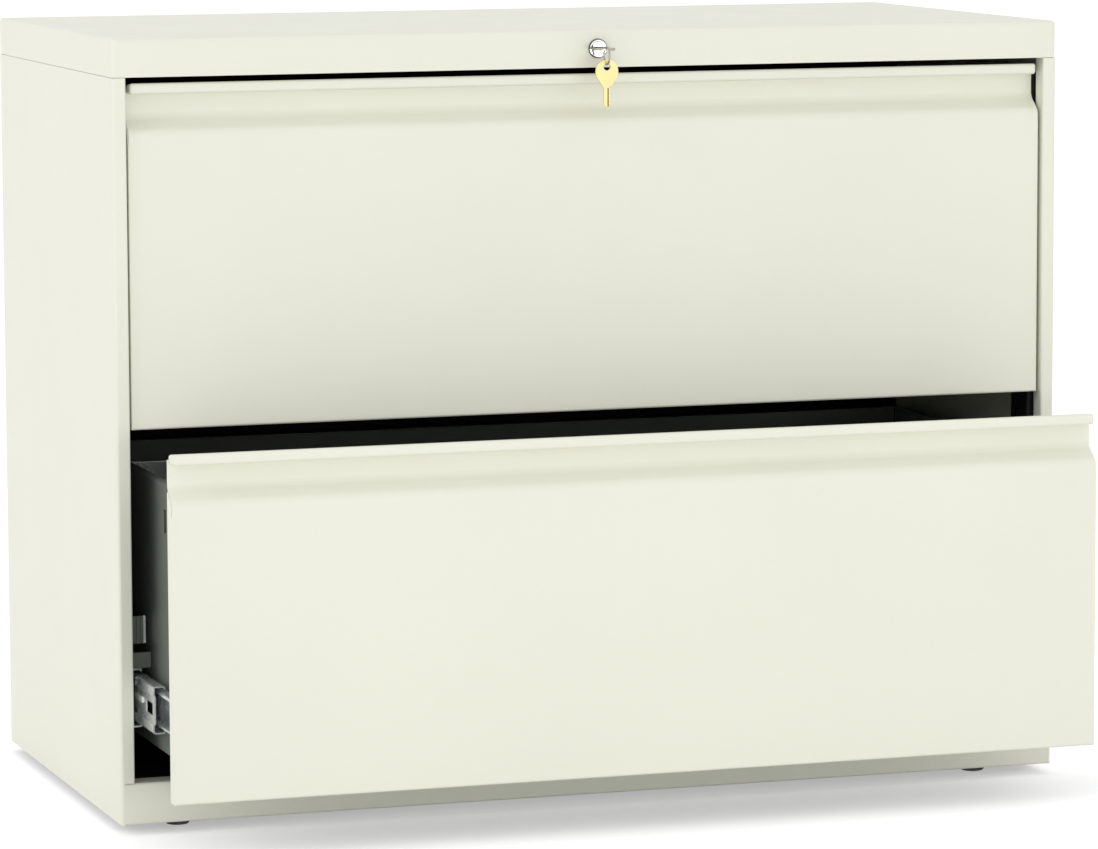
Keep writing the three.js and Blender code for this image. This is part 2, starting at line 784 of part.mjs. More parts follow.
// The left members have a striker for the catch of the interlock bar.
function drawerMember(hasStriker) {
  const section = channelSection(slideThickness, drawerMemberStart, drawerMemberHalf);
  const channel = extrudeY(section, 0, slideLength);
  if (!hasStriker) {
    return channel;
  }
  const web = slideThickness - slideSheet;
  const striker = block(web, slideThickness, 0, strikerLength, drawerMemberHalf - slideLip, strikerTop);
  return join(channel, striker);
}

// A cage of balls between two members: a strip bent round the inner one, with a row of balls above and below.
function ballCage(start, reach, ballX, race) {
  const middle = race + cageSheet / 2;
  const section = bentSheet(
    [
      [reach, middle],
      [start, middle],
      [start, -middle],
      [reach, -middle],
    ],
    cageSheet,
    cageBendRadius,
  );
  const strip = extrudeY(section, 0, cageLength);
  const ballAt = (y, z) => {
    const ball = new THREE.SphereGeometry(ballRadius, ballSides, ballRings);
    return ball.rotateX(Math.PI / 2).translate(ballX, y, z);
  };
  const rows = Array.from({ length: ballsInRow }, (_, i) => cageOverhang + i * ballPitch);
  const balls = rows.flatMap((y) => [ballAt(y, -race), ballAt(y, race)]);
  return join(strip, ...balls);
}

function outerCage() {
  const web = (slideSheet + middleMemberStart) / 2 - cageSheet / 2;
  const reach = cabinetMemberReach - slideSheet - 2 * fit;
  const race = middleMemberHalf + ballGap / 2;
  return ballCage(web, reach, (middleMemberStart + reach) / 2, race);
}

function innerCage() {
  const web = (middleMemberStart + slideSheet + drawerMemberStart) / 2 - cageSheet / 2;
  const reach = middleMemberReach - slideSheet - 2 * fit;
  const race = drawerMemberHalf + ballGap / 2;
  return ballCage(web, reach, (drawerMemberStart + reach) / 2, race);
}

// Lock, keys and interlock, in the cabinet's own place

function lockHousing() {
  const bore = plugRadius + fit;
  const profile = [
    [bore, -lockFaceProud],
    [lockFaceRadius - lockFaceEdge, -lockFaceProud],
    [lockFaceRadius, -lockFaceProud + lockFaceEdge],
    [lockFaceRadius, -fit],
    [lockBarrelRadius, -fit],
    [lockBarrelRadius, lockBarrelLength],
    [bore, lockBarrelLength],
    [bore, -lockFaceProud],
  ];
  return turnedY(profile).translate(0, 0, lockZ);
}

function lockNut() {
  const y0 = caseSheet + fit;
  const nut = new THREE.CylinderGeometry(lockNutRadius, lockNutRadius, lockNutThickness, hexSides);
  const hole = barY(lockBarrelRadius + fit, -lockNutThickness, lockNutThickness, 0, 0, roundSides);
  return cut(nut, hole).translate(0, y0 + lockNutThickness / 2, lockZ);
}

function lockPlug() {
  const end = lockBarrelLength + plugTail;
  const body = turnedY([[0, plugFaceY], [plugRadius, plugFaceY], [plugRadius, end], [0, end]]);
  const x = keyBladeWidth / 2 + fit;
  const z = keyThickness / 2 + fit;
  const keyway = block(-x, x, plugFaceY - overcut, keyBowY + keyLength - keyBowRadius + fit, -z, z);
  return cut(body, keyway).translate(0, 0, lockZ);
}

// The cam's pin starts on the diagonal at the lower right and swings to the lower left.
function lockCam() {
  const pinX = camArm * Math.SQRT1_2;
  const hub = barY(camHubRadius, camY, camY + camThickness, 0, 0, roundSides);
  const arm = slotShape(new THREE.Vector2(0, 0), new THREE.Vector2(pinX, -pinX), camTipRadius);
  const pinEnd = linkY + linkThickness + overcut;
  const pin = barY(linkPinRadius, camY + camThickness / 2, pinEnd, pinX, -pinX);
  return join(hub, extrudeY(arm, camY, camY + camThickness), pin).translate(0, 0, lockZ);
}

const interlockX = -half + interlockBarInset;
const armPinX = interlockX + interlockBarThickness + armPinReach;
const armZ = upperHeadTop + armRise;
const armPinZ = armZ + armHeight / 2;

// The bar slides sideways: an upright slot takes the cam's pin, a slanted one moves the interlock bar down.
function lockLinkBar() {
  const slotRadius = linkPinRadius + linkPinSlack;
  const pinX = camArm * Math.SQRT1_2;
  const camSlot = slotShape(
    new THREE.Vector2(pinX, lockZ - camArm),
    new THREE.Vector2(pinX, lockZ - pinX),
    slotRadius,
  );
  const slantSlot = slotShape(
    new THREE.Vector2(armPinX, armPinZ),
    new THREE.Vector2(armPinX + linkTravel, armPinZ - interlockDrop),
    slotRadius,
  );
  const x0 = armPinX - linkEnd;
  const x1 = pinX + linkEnd;
  const outline = new THREE.Shape([
    new THREE.Vector2(x0, linkZ),
    new THREE.Vector2(x1, linkZ),
    new THREE.Vector2(x1, linkZ + linkHeight),
    new THREE.Vector2(x0, linkZ + linkHeight),
  ]);
  const y0 = linkY;
  const y1 = linkY + linkThickness;
  const opened = (shape) => extrudeY(shape, y0 - overcut, y1 + overcut);
  return cut(extrudeY(outline, y0, y1), opened(camSlot), opened(slantSlot));
}

function interlockBar() {
  const x1 = interlockX + interlockBarThickness;
  const y0 = interlockFront;
  const catches = [upperHeadTop, lowerHeadTop].map((headTop) => headTop + slideCentre + catchBottom);
  const barBottom = Math.min(...catches) - interlockDrop;
  const bar = block(interlockX, x1, y0, y0 + interlockBarWidth, barBottom, armZ + armHeight / 2);
  const catchEnd = -drawerSideX - catchReachGap;
  const lobeY = y0 + catchThickness;
  const lobes = catches.map((z) => block(x1 - overcut, catchEnd, y0, lobeY, z, z + catchHeight));
  const armEnd = armPinX + linkEnd;
  const arm = block(x1 - overcut, armEnd, y0, y0 + armThickness, armZ, armZ + armHeight);
  const pin = barY(linkPinRadius, y0 + armThickness / 2, linkY + linkThickness + overcut, armPinX, armPinZ);
  return join(bar, arm, pin, ...lobes);
}

// A key in its own plane: the middle of the bow at the origin, the blade along +Y.
function key() {
  const blade = keyBladeWidth / 2;
  const bowEdge = Math.sqrt(keyBowRadius ** 2 - blade ** 2);
  const tip = keyLength - keyBowRadius;
  const start = Math.atan2(bowEdge, -blade);
  const end = Math.atan2(bowEdge, blade) + 2 * Math.PI;
  const shape = new THREE.Shape();
  shape.absarc(0, 0, keyBowRadius, start, end, false);
  for (let i = 0; i < keyCutCount; i += 1) {
    const cutY = tip - keyTip - (keyCutCount - i) * keyCutPitch;
    const depth = i % 2 === 0 ? keyCutDepth : keyShallowCutDepth;
    shape.lineTo(blade, cutY);
    shape.lineTo(blade - depth, cutY + keyCutPitch / 2);
  }
  shape.lineTo(blade, tip - keyTip);
  shape.lineTo(blade - keyTip, tip);
  shape.lineTo(keyTip - blade, tip);
  shape.lineTo(-blade, tip - keyTip);
  shape.closePath();
  const hole = new THREE.Path();
  hole.absarc(0, -keyHoleOffset, keyHoleRadius, 0, 2 * Math.PI, true);
  shape.holes.push(hole);
  return extrudeZ(shape, -keyThickness / 2, keyThickness / 2);
}

function keyRing() {
  const radius = ringInnerRadius + ringWireRadius;
  return new THREE.TorusGeometry(radius, ringWireRadius, ringSides, ringSteps).rotateY(Math.PI / 2);
}

// Assembly

function place(parent, name, geometry, finish, x = 0, y = 0, z = 0) {
  const mesh = new THREE.Mesh(geometry, finish.clone());
  mesh.name = name;
  mesh.position.set(x, y, z);
  parent.add(mesh);
  return mesh;
}

function groupAt(parent, x, y, z) {
  const group = new THREE.Group();
  group.position.set(x, y, z);
  parent.add(group);
  return group;
}

function buildCase(cabinet) {
  const side = sidePanel();
  place(cabinet, 'left_side_panel', side, puttyPaint);
  place(cabinet, 'right_side_panel', mirrored(side), puttyPaint);
  place(cabinet, 'back_panel', backPanel(), puttyPaint);
  place(cabinet, 'top_cap', topCap(), puttyPaint);
  place(cabinet, 'base_front_rail', baseFrontRail(), puttyPaint);
  place(cabinet, 'bottom_pan', bottomPan(), blackPaint);
  const rearGlideY = caseDepth - glideSetback;
  place(cabinet, 'front_base_channel', baseChannel(), blackPaint, 0, glideSetback);
  place(cabinet, 'rear_base_channel', baseChannel(), blackPaint, 0, rearGlideY);
  const weightY = rearGlideY - channelWidth / 2 - counterweightGap - counterweightDepth / 2;
  place(cabinet, 'counterweight', counterweight(), rawSteel, 0, weightY);
  for (const [front, y] of [['front', glideSetback], ['rear', rearGlideY]]) {
    place(cabinet, `${front}_left_glide`, glide(), blackPlastic, glideInset - half, y);
    place(cabinet, `${front}_right_glide`, glide(), blackPlastic, half - glideInset, y);
  }
  const rearUprightY = caseDepth - uprightRearGap - uprightDepth;
  place(cabinet, 'front_left_upright', upright(catchWindows()), blackPaint, 0, uprightFront);
  place(cabinet, 'front_right_upright', mirrored(upright([])), blackPaint, 0, uprightFront);
  place(cabinet, 'rear_left_upright', upright([]), blackPaint, 0, rearUprightY);
  place(cabinet, 'rear_right_upright', mirrored(upright([])), blackPaint, 0, rearUprightY);
}

// One slide of a drawer that stands open by a given distance. Its middle member moves half as far as the
// drawer, its outer cage a quarter as far and its inner cage three quarters.
function buildSlide(cabinet, level, side, z, open) {
  const hand = side === 'left' ? (geometry) => geometry : mirrored;
  const x = side === 'left' ? -slideMountX : slideMountX;
  const members = [
    [`${level}_${side}_cabinet_slide`, cabinetMember(), 0, 0],
    [`${level}_${side}_middle_slide`, middleMember(), 0.5, 0],
    [`${level}_${side}_drawer_slide`, drawerMember(side === 'left'), 1, 0],
    [`${level}_${side}_outer_cage`, outerCage(), 0.25, cageLead],
    [`${level}_${side}_inner_cage`, innerCage(), 0.75, cageLead],
  ];
  const slide = groupAt(cabinet, x, slideFront, z);
  for (const [name, geometry, share, lead] of members) {
    place(slide, name, hand(geometry), zincPlate, 0, lead - share * open);
  }
}

function buildDrawer(cabinet, level, headTop, open) {
  const drawer = groupAt(cabinet, 0, drawerSetback - open, headTop);
  place(drawer, `${level}_drawer_head`, drawerHead(), puttyPaint);
  place(drawer, `${level}_drawer_pan`, drawerPan(), darkPaint);
  place(drawer, `${level}_drawer_left_side`, drawerSide(), darkPaint);
  place(drawer, `${level}_drawer_right_side`, mirrored(drawerSide()), darkPaint);
  place(drawer, `${level}_front_hang_rail`, hangRail(), zincPlate, 0, frontRailY);
  place(drawer, `${level}_rear_hang_rail`, hangRail(), zincPlate, 0, rearRailY);
  for (const side of ['left', 'right']) {
    buildSlide(cabinet, level, side, headTop + slideCentre, open);
  }
}

function buildLock(cabinet) {
  place(cabinet, 'lock_housing', lockHousing(), chrome);
  place(cabinet, 'lock_nut', lockNut(), zincPlate);
  place(cabinet, 'lock_plug', lockPlug(), chrome);
  place(cabinet, 'lock_cam', lockCam(), zincPlate);
  place(cabinet, 'lock_link_bar', lockLinkBar(), zincPlate);
  place(cabinet, 'interlock_bar', interlockBar(), zincPlate);
  place(cabinet, 'key_in_lock', key(), keySteel, 0, keyBowY, lockZ);
  place(cabinet, 'key_ring', keyRing(), keySteel, 0, keyRimY, ringZ);
}

const cabinet = new THREE.Group();
cabinet.position.y = -(frontmost + caseDepth) / 2;
buildCase(cabinet);
buildDrawer(cabinet, 'upper', upperHeadTop, 0);
buildDrawer(cabinet, 'lower', lowerHeadTop, lowerDrawerOpen);
buildLock(cabinet);

export default cabinet;
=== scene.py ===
"""Two-drawer lateral filing cabinet: the finished pieces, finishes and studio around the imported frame."""
import math

import bmesh
import bpy
from bpy.props import FloatProperty, FloatVectorProperty, IntProperty, PointerProperty
from mathutils import Matrix, Vector


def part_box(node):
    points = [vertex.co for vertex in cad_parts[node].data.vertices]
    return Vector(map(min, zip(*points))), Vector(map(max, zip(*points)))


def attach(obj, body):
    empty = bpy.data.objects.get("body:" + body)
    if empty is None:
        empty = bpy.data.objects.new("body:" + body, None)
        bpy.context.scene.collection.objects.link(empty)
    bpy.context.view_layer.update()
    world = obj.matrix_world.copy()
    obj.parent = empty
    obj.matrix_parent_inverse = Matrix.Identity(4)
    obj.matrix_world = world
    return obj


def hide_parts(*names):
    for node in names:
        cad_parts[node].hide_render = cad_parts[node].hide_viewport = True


bl_info = {
    "name": "Lateral filing cabinet",
    "version": (1, 0, 0),
    "blender": (4, 5, 0),
    "location": "View3D > Sidebar > Cabinet",
    "description": "Builds a lateral filing cabinet with formed pulls, ball-bearing slides and a key lock",
    "category": "Object",
}

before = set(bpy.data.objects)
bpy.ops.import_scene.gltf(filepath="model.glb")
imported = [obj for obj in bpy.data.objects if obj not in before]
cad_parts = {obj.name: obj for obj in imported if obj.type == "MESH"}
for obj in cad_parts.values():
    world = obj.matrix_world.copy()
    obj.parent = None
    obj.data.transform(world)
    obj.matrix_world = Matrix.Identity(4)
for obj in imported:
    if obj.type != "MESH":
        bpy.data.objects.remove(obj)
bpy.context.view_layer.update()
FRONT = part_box("base_front_rail")[0].y
SIDES = ("left", "right")
DRAWERS = ("upper", "lower")
CORNERS = ("front_left", "front_right", "rear_left", "rear_right")

# Fineness of round stretches
ARC_STEP = math.radians(9.0)  # most turn between two points of a sheet's bend
EDGE_STEPS = 8  # in a quarter of the cap's rolled edge and corners
LIP_STEPS = 6  # in a quarter of a drawer's lip
PAD_STEPS = 4  # in a quarter of a pad's corner
TURNED_STEPS = 64  # round the lock's parts and the key ring
BOW_STEPS = 48  # round a key's bow
HOLE_STEPS = 32  # round the hole in a key
WIRE_STEPS = 16  # round the wire of the key ring

# Limits
SHARP = math.radians(32.0)  # a fold sharper than this shows as an edge
WELD = 1e-7  # points this near are one
SLIVER = 1e-8  # an edge this short is dropped
TOUCH = 1e-5  # a face whose middle is this near to a cut belongs to it

# Places of fasteners
RIVETS = (0.08, 0.36, 0.64, 0.92)  # shares of a drawer member's length
SCREW_COLUMNS = (-0.8, -0.27, 0.27, 0.8)  # shares of half the drawer's width
SCREW_ROWS = (0.30, 0.72)  # shares of the drawer's height


# Settings

def length(label, text, value):
    """A length property in metres."""
    return FloatProperty(name=label, description=text, default=value, min=0.0, unit="LENGTH", precision=5)


def share(label, text, value):
    """A property between 0 and 1."""
    return FloatProperty(name=label, description=text, default=value, min=0.0, max=1.0, subtype="FACTOR")


def count(label, text, value):
    """A number of like things."""
    return IntProperty(name=label, description=text, default=value, min=1, subtype="UNSIGNED")


def angle(label, text, value):
    """An angle property in radians."""
    return FloatProperty(name=label, description=text, default=value, subtype="ANGLE")


def optics(label, text, value):
    """A camera length in millimetres."""
    return FloatProperty(name=label, description=text, default=value, min=1.0, unit="CAMERA")


def power(label, text, value):
    """A lamp's power in watts."""
    return FloatProperty(name=label, description=text, default=value, min=0.0, unit="POWER")


def spread(label, text, value):
    """Lengths along two or three axes, in metres."""
    return FloatVectorProperty(
        name=label, description=text, default=value, size=len(value), subtype="XYZ", unit="LENGTH")


def colour(label, text, value):
    """A linear colour property."""
    return FloatVectorProperty(
        name=label, description=text, default=value, size=3, min=0.0, max=1.0, subtype="COLOR")


class CabinetCaseSizes(bpy.types.PropertyGroup):
    """Sheet sizes of the case."""
    sheet: length("Sheet", "Thickness of the case sheet", 0.001)
    seam: length("Seam", "Open line between two case pieces", 0.0004)
    joint: length("Closed joint", "Line where two sheets meet edge to edge", 0.00005)
    edge: length("Edge radius", "Outside radius of the folded vertical edges", 0.0030)
    cap_edge: length("Cap edge radius", "Rolled edge of the top cap", 0.0034)
    cap_corner: length("Cap corner radius", "Corner of the top cap seen from above", 0.0046)
    cap_flange: length("Cap flange", "Depth of the flange under the cap's front", 0.021)
    flange_inset: length("Flange inset", "End of that flange from the cap's side", 0.0015)
    flange_gap: length("Flange gap", "Line between that flange and the cap's front", 0.00001)
    post: length("Post width", "Width of the front post beside the drawers", 0.013)
    post_gap: length("Post gap", "Open line between a post and the base rail", 0.00015)
    post_bend: length("Post bend", "Outside radius between the post and its return", 0.0018)
    jamb: length("Jamb depth", "Depth of the return behind the post", 0.017)
    rear_return: length("Rear return", "Width of the fold at the back", 0.016)
    rail_bend: length("Rail bend", "Outside radius of the base rail's folds", 0.0024)
    back_bend: length("Back bend", "Outside radius of the back panel's folds", 0.0024)


class CabinetDrawerSizes(bpy.types.PropertyGroup):
    """Sizes of the drawer heads, their pulls and the drawer sides."""
    sheet: length("Sheet", "Thickness of the drawer sheet", 0.001)
    lip: length("Lip height", "Height of the rolled lip above the pull", 0.0103)
    lip_edge: length("Lip radius", "Outside radius of the rolled lip", 0.0027)
    lip_least: share("Lip corner", "Least corner of the lip's closed ends, as a share of its radius", 0.12)
    lip_fall: length("Lip fall", "Fall of the lip's top towards the back", 0.0022)
    lip_inset: length("Lip inset", "Lip end from the head end", 0.0026)
    lip_drop: length("Lip drop", "Top of the lip below the top of the head", 0.0012)
    lip_lap: length("Lip lap", "Recess wall inside the lip", 0.004)
    recess_inset: length("Recess inset", "End of the recess from the head end", 0.0008)
    depth: length("Pull depth", "Depth of the finger recess", 0.016)
    sweep_top: length("Sweep top", "Where the recess wall turns forward", 0.033)
    sweep_bottom: length("Sweep bottom", "Where the wall turns down into the face", 0.045)
    sweep: length("Sweep radius", "Radius of both turns of the recess wall", 0.0105)
    edge: length("Edge radius", "Outside radius of the head's bottom fold", 0.0022)
    end_edge: length("End radius", "Outside radius of the folds at the head's ends", 0.0011)
    fold: length("Return depth", "Depth of the return under the head", 0.012)
    end_fold: length("End depth", "Depth of the returns at the head's ends", 0.0145)
    hem: length("Hem drop", "Hem below the top of the head", 0.064)
    gap: length("Fold gap", "Open line between two folds of the head", 0.0003)
    side_bend: length("Side bend", "Outside radius of a drawer side's folds", 0.0024)
    top_flange: length("Top flange", "Flange at the top of a drawer side", 0.008)
    bottom_flange: length("Bottom flange", "Flange at the bottom of a drawer side", 0.012)
    slot_width: length("Slot width", "Slot for a hang rail", 0.007)
    slot_height: length("Slot height", "Height of a slot for a hang rail", 0.0215)
    slot_drop: length("Slot drop", "Slot below the top of the drawer side", 0.0235)
    near_lag: length("Near slot lag", "Spare slot close behind the front rail", 0.013)
    far_lead: length("Far slot lead", "Spare slot well in front of the front rail", 0.063)


class CabinetSlideSizes(bpy.types.PropertyGroup):
    """Sizes of the slides, their balls and the drawers' fasteners."""
    sheet: length("Sheet", "Thickness of a slide member", 0.0014)
    lip: length("Lip", "Lip of a middle member's flange", 0.003)
    track_bend: length("Track bend", "Outside radius beside a ball track", 0.0024)
    lip_bend: length("Lip bend", "Outside radius at a flange's lip", 0.002)
    step: length("Step", "Middle of a middle member's web behind its tracks", 0.0012)
    step_half: length("Step half height", "Half the height of the web's middle", 0.0118)
    step_bend: length("Step bend", "Radius of the turns beside the tracks", 0.002)
    floor_bend: length("Floor bend", "Radius of the turns beside the web's middle", 0.0009)
    window_length: length("Window length", "Window in the web, along", 0.025)
    window_height: length("Window height", "Window in the web, upright", 0.011)
    window_lead: length("Window lead", "Middle of the window from the member's end", 0.019)
    pad_lead: length("Pad lead", "Nylon pad from the member's front end", 0.040)
    pad_length: length("Pad length", "Nylon pad, along", 0.029)
    pad_height: length("Pad height", "Nylon pad, upright", 0.0055)
    pad_rise: length("Pad rise", "Middle of the pad above the slide's middle", 0.003)
    pad_corner: length("Pad corner", "Corner radius of the pad", 0.00165)
    pad_sink: length("Pad sink", "Face of the pad behind the face of the tracks", 0.00012)
    pad_gap: length("Pad gap", "Line between the pad and the web's middle", 0.00006)
    clip_height: length("Clip height", "Clip on the bracket of a cabinet member", 0.025)
    clip_setback: length("Clip setback", "Bracket behind the front of the cabinet member", 0.002)
    clip_sheet: length("Clip sheet", "Thickness of the clip between its ribs", 0.0008)
    clip_rib: length("Clip rib", "Depth of a rib of the clip", 0.002)
    clip_bare: length("Bare edge", "Edge of the bracket beside the clip", 0.0028)
    clip_ribs: count("Clip ribs", "Ribs on a clip", 3)
    ball: length("Ball radius", "Radius of a ball", 0.0016)
    ball_facets: count("Ball facets", "Facets round a ball", 14)
    ball_pitch: length("CAD ball pitch", "Spacing of the balls that the cages hold in the CAD", 0.044)
    ball_split: count("Ball split", "Balls for each of those in the CAD", 6)
    overhang: length("Cage overhang", "Cage past its end balls", 0.010)
    outer_inset: length("Outer inset", "Ball centre from the open side of an outer cage", 0.00275)
    inner_inset: length("Inner inset", "Ball centre from the open side of an inner cage", 0.00175)
    slide_half: length("Slide half height", "Half the height of a cabinet member", 0.027)
    wall: length("Drawer wall", "Thickness of the drawer sheet", 0.001)
    rivet: length("Rivet radius", "Radius of a rivet head", 0.0035)
    rivet_rise: share("Rivet rise", "Rise of a rivet head, as a share of its radius", 0.35)
    screw: length("Screw radius", "Radius of a screw head", 0.004)
    screw_rise: share("Screw rise", "Rise of a screw head, as a share of its radius", 0.4)
    head_facets: count("Head facets", "Facets round a rivet or screw head", 16)


class CabinetLockSizes(bpy.types.PropertyGroup):
    """Sizes of the lock, its keys and their ring."""
    face: length("Lock face radius", "Radius of the lock's bezel", 0.0089)
    edge: length("Bezel edge", "Chamfer round the bezel", 0.0008)
    edge_round: share("Bezel round", "Middle of that chamfer, as a share of it", 0.3)
    bore_edge: length("Bore edge", "Chamfer round the plug", 0.0005)
    barrel: length("Barrel radius", "Radius of the lock barrel", 0.008)
    plug: length("Plug radius", "Radius of the plug", 0.006)
    fit: length("Fit", "Clearance round the plug, the barrel and the end of the key", 0.0003)
    seat: length("Seat", "Line between the bezel and the cap", 0.0001)
    keyway: length("Keyway clearance", "Open line round the key in the plug", 0.0007)
    key_thickness: length("Key thickness", "Thickness of the key blank", 0.002)
    bow: length("Bow radius", "Radius of the key bow", 0.0108)
    hole: length("Key hole radius", "Radius of the hole in the bow", 0.0034)
    rim: length("Key hole rim", "Metal between the hole and the end of the bow", 0.0031)
    blade: length("Blade width", "Width of the lock key's blade", 0.0076)
    spare_blade: length("Spare blade width", "Width of the spare key's blade", 0.0062)
    key_length: length("Key length", "Whole length of the key", 0.0442)
    key_tip: length("Key tip", "Chamfer at the tip of the blade", 0.003)
    cuts: count("Cuts", "Cuts in the blade", 5)
    cut_pitch: length("Cut pitch", "Spacing of the cuts", 0.0034)
    cut_depth: length("Cut depth", "Depth of a deep cut", 0.0014)
    shallow_cut: length("Shallow cut", "Depth of a shallow cut", 0.00084)
    groove: length("Groove width", "Width of the milled groove", 0.0013)
    groove_depth: length("Groove depth", "Depth of the milled groove", 0.0006)
    groove_side: length("Groove place", "Middle of the groove from the middle of the blade", 0.0009)
    lock_shoulder: length("Lock key shoulder", "Bow centre to the shoulder of the key in the lock", 0.0128)
    spare_shoulder: length("Spare key shoulder", "Bow centre to the shoulder of the spare key", 0.0150)
    wire: length("Ring wire radius", "Radius of the ring wire", 0.0009)


class CabinetColours(bpy.types.PropertyGroup):
    """Linear base colours of the finishes."""
    putty: colour("Putty", "Warm off-white paint outside", (0.800, 0.805, 0.690))
    drawer: colour("Drawer grey", "Grey paint of the drawer bodies", (0.150, 0.165, 0.144))
    # dark paint of the inner pieces, made darker still so that the inside of the case reads as deep shade:
    # partly real paint, partly painted shade
    black: colour("Black", "Dark paint inside the case", (0.011, 0.011, 0.011))
    zinc: colour("Zinc", "Plated slides", (0.76, 0.80, 0.80))
    steel: colour("Steel", "Bare steel", (0.45, 0.44, 0.42))
    chrome: colour("Chrome", "Bright lock face", (0.74, 0.74, 0.73))
    # painted shade: this dark colour is the shade in the gap round the lock's bezel and the plug, and inside
    # the keyway
    rim: colour("Dark rim", "Unpolished rim of the lock face", (0.09, 0.09, 0.085))
    nickel: colour("Nickel", "Key and ring", (0.40, 0.38, 0.33))
    brass: colour("Brass", "Spare key", (0.74, 0.61, 0.29))
    tarnish: colour("Tarnish", "Groove of the spare key", (0.30, 0.23, 0.08))
    plastic: colour("Plastic", "Foot of a glide", (0.025, 0.025, 0.026))
    nylon: colour("Nylon", "Pad on a slide", (0.93, 0.93, 0.90))
    floor: colour("Floor", "Pale studio floor", (0.88, 0.88, 0.885))
    white: colour("White", "Lamps and background", (1.0, 1.0, 1.0))


class CabinetStageSettings(bpy.types.PropertyGroup):
    """Camera and light."""
    lens: optics("Lens", "Focal length", 173.324)
    sensor: optics("Sensor", "Width of the camera's sensor", 36.0)
    yaw: angle("Yaw", "Camera heading", 0.3206173092387132)
    pitch: angle("Pitch", "Camera tilt below the horizon", 0.12164184389392423)
    roll: angle("Roll", "Camera roll", -0.003847278977616108)
    place: spread("Place", "Camera place", (-1.5716831, -4.7485361, 0.9491855))
    sight: length("Sight", "Farthest point that the camera shows", 200.0)
    sky: share("Sky", "Strength of the even light", 0.85)
    side: power("Side light", "Power of the lamp at the left", 36.0)
    side_place: spread("Side place", "Place of that lamp", (-4.2, -0.6, 2.4))
    side_size: spread("Side size", "Width and height of that lamp", (3.0, 3.0))
    fill: power("Fill light", "Power of the long lamp low in front", 39.0)
    fill_place: spread("Fill place", "Place of that lamp", (0.3, -4.4, 0.32))
    fill_size: spread("Fill size", "Width and height of that lamp", (5.0, 0.6))
    aim: spread("Aim", "Point that both lamps look at", (0.0, 0.0, 0.36))
    glow: share("Floor glow", "Lift of the floor where it is the background", 0.40)
    floor_reach: length("Floor reach", "Edge of the floor from the middle", 30.0)
    floor_drop: length("Floor drop", "Floor below the glides", 0.0003)


def settings(group):
    """One group of the scene's settings."""
    return getattr(bpy.context.scene, "cabinet_" + group)


# Names and places

def called(*words):
    """A node or piece name made of its words."""
    return "_".join(words)


def centre_of(name, axis):
    """Middle of a CAD node along one axis."""
    lo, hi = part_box(name)
    return (lo[axis] + hi[axis]) / 2.0


def inward_from(lo, hi, side):
    """Places a distance from the outer face of a box on one side of the cabinet."""
    return (lambda a: lo.x + a) if side == "left" else (lambda a: hi.x - a)


# Outlines

def bent_sheet(path, thickness, radii):
    """Closed outline of a folded sheet whose outer face follows path; the sheet lies to the right of it."""
    points = [Vector(point) for point in path]
    if isinstance(radii, float):
        radii = [radii] * (len(points) - 2)
    samples = []

    def keep(point, heading):
        samples.append((point, Vector((heading.y, -heading.x))))

    heading = (points[1] - points[0]).normalized()
    keep(points[0], heading)
    for before, corner, after, radius in zip(points, points[1:], points[2:], radii):
        start = (corner - before).normalized()
        end = (after - corner).normalized()
        turn = math.atan2(start.x * end.y - start.y * end.x, start.dot(end))
        side = 1.0 if turn > 0.0 else -1.0
        first = corner - start * radius * math.tan(abs(turn) / 2.0)
        centre = first + Vector((-start.y, start.x)) * side * radius
        steps = max(1, math.ceil(abs(turn) / ARC_STEP))
        for i in range(steps + 1):
            along = Matrix.Rotation(turn * i / steps, 2) @ start
            keep(centre - Vector((-along.y, along.x)) * side * radius, along)
        heading = end
    keep(points[-1], heading)
    outer = [point for point, _ in samples]
    inner = [point + normal * thickness for point, normal in samples]
    return outer + inner[::-1]


def quarter_turns(steps):
    """Angles from 0 to a quarter turn."""
    return [math.pi / 2.0 * i / steps for i in range(steps + 1)]


def rounded_rectangle(lo, hi, radius, steps):
    """Counter-clockwise rounded rectangle."""
    corners = ((hi[0], hi[1]), (lo[0], hi[1]), (lo[0], lo[1]), (hi[0], lo[1]))
    points = []
    for quarter, corner in enumerate(corners):
        centre = (corner[0] - math.copysign(radius, corner[0] - (lo[0] + hi[0]) / 2.0),
                  corner[1] - math.copysign(radius, corner[1] - (lo[1] + hi[1]) / 2.0))
        for turn in quarter_turns(steps):
            turn += math.pi / 2.0 * quarter
            points.append((centre[0] + radius * math.cos(turn), centre[1] + radius * math.sin(turn)))
    return points


def circle(radius, steps, centre=(0.0, 0.0)):
    """Counter-clockwise circle."""
    turns = [2.0 * math.pi * i / steps for i in range(steps)]
    return [(centre[0] + radius * math.cos(t), centre[1] + radius * math.sin(t)) for t in turns]


# Meshes

PLANES = {
    "X": lambda a, b, along: (along, a, b),
    "Y": lambda a, b, along: (a, along, b),
    "Z": lambda a, b, along: (a, b, along),
}


def loft(bm, rings):
    """Skins rings of equal point counts, with a face on each end."""
    loops = [[bm.verts.new(point) for point in ring] for ring in rings]
    for lower, upper in zip(loops, loops[1:]):
        for i in range(len(lower)):
            j = (i + 1) % len(lower)
            bm.faces.new((lower[i], lower[j], upper[j], upper[i]))
    bm.faces.new(loops[0][::-1])
    bm.faces.new(loops[-1])


def prism(bm, outline, axis, lo, hi):
    """Extrudes an outline of the plane across axis from lo to hi."""
    put = PLANES[axis]
    loft(bm, [[put(a, b, along) for a, b in outline] for along in (lo, hi)])


def block(bm, lo, hi):
    """A box between two corners."""
    prism(bm, [(lo[0], lo[1]), (hi[0], lo[1]), (hi[0], hi[1]), (lo[0], hi[1])], "Z", lo[2], hi[2])


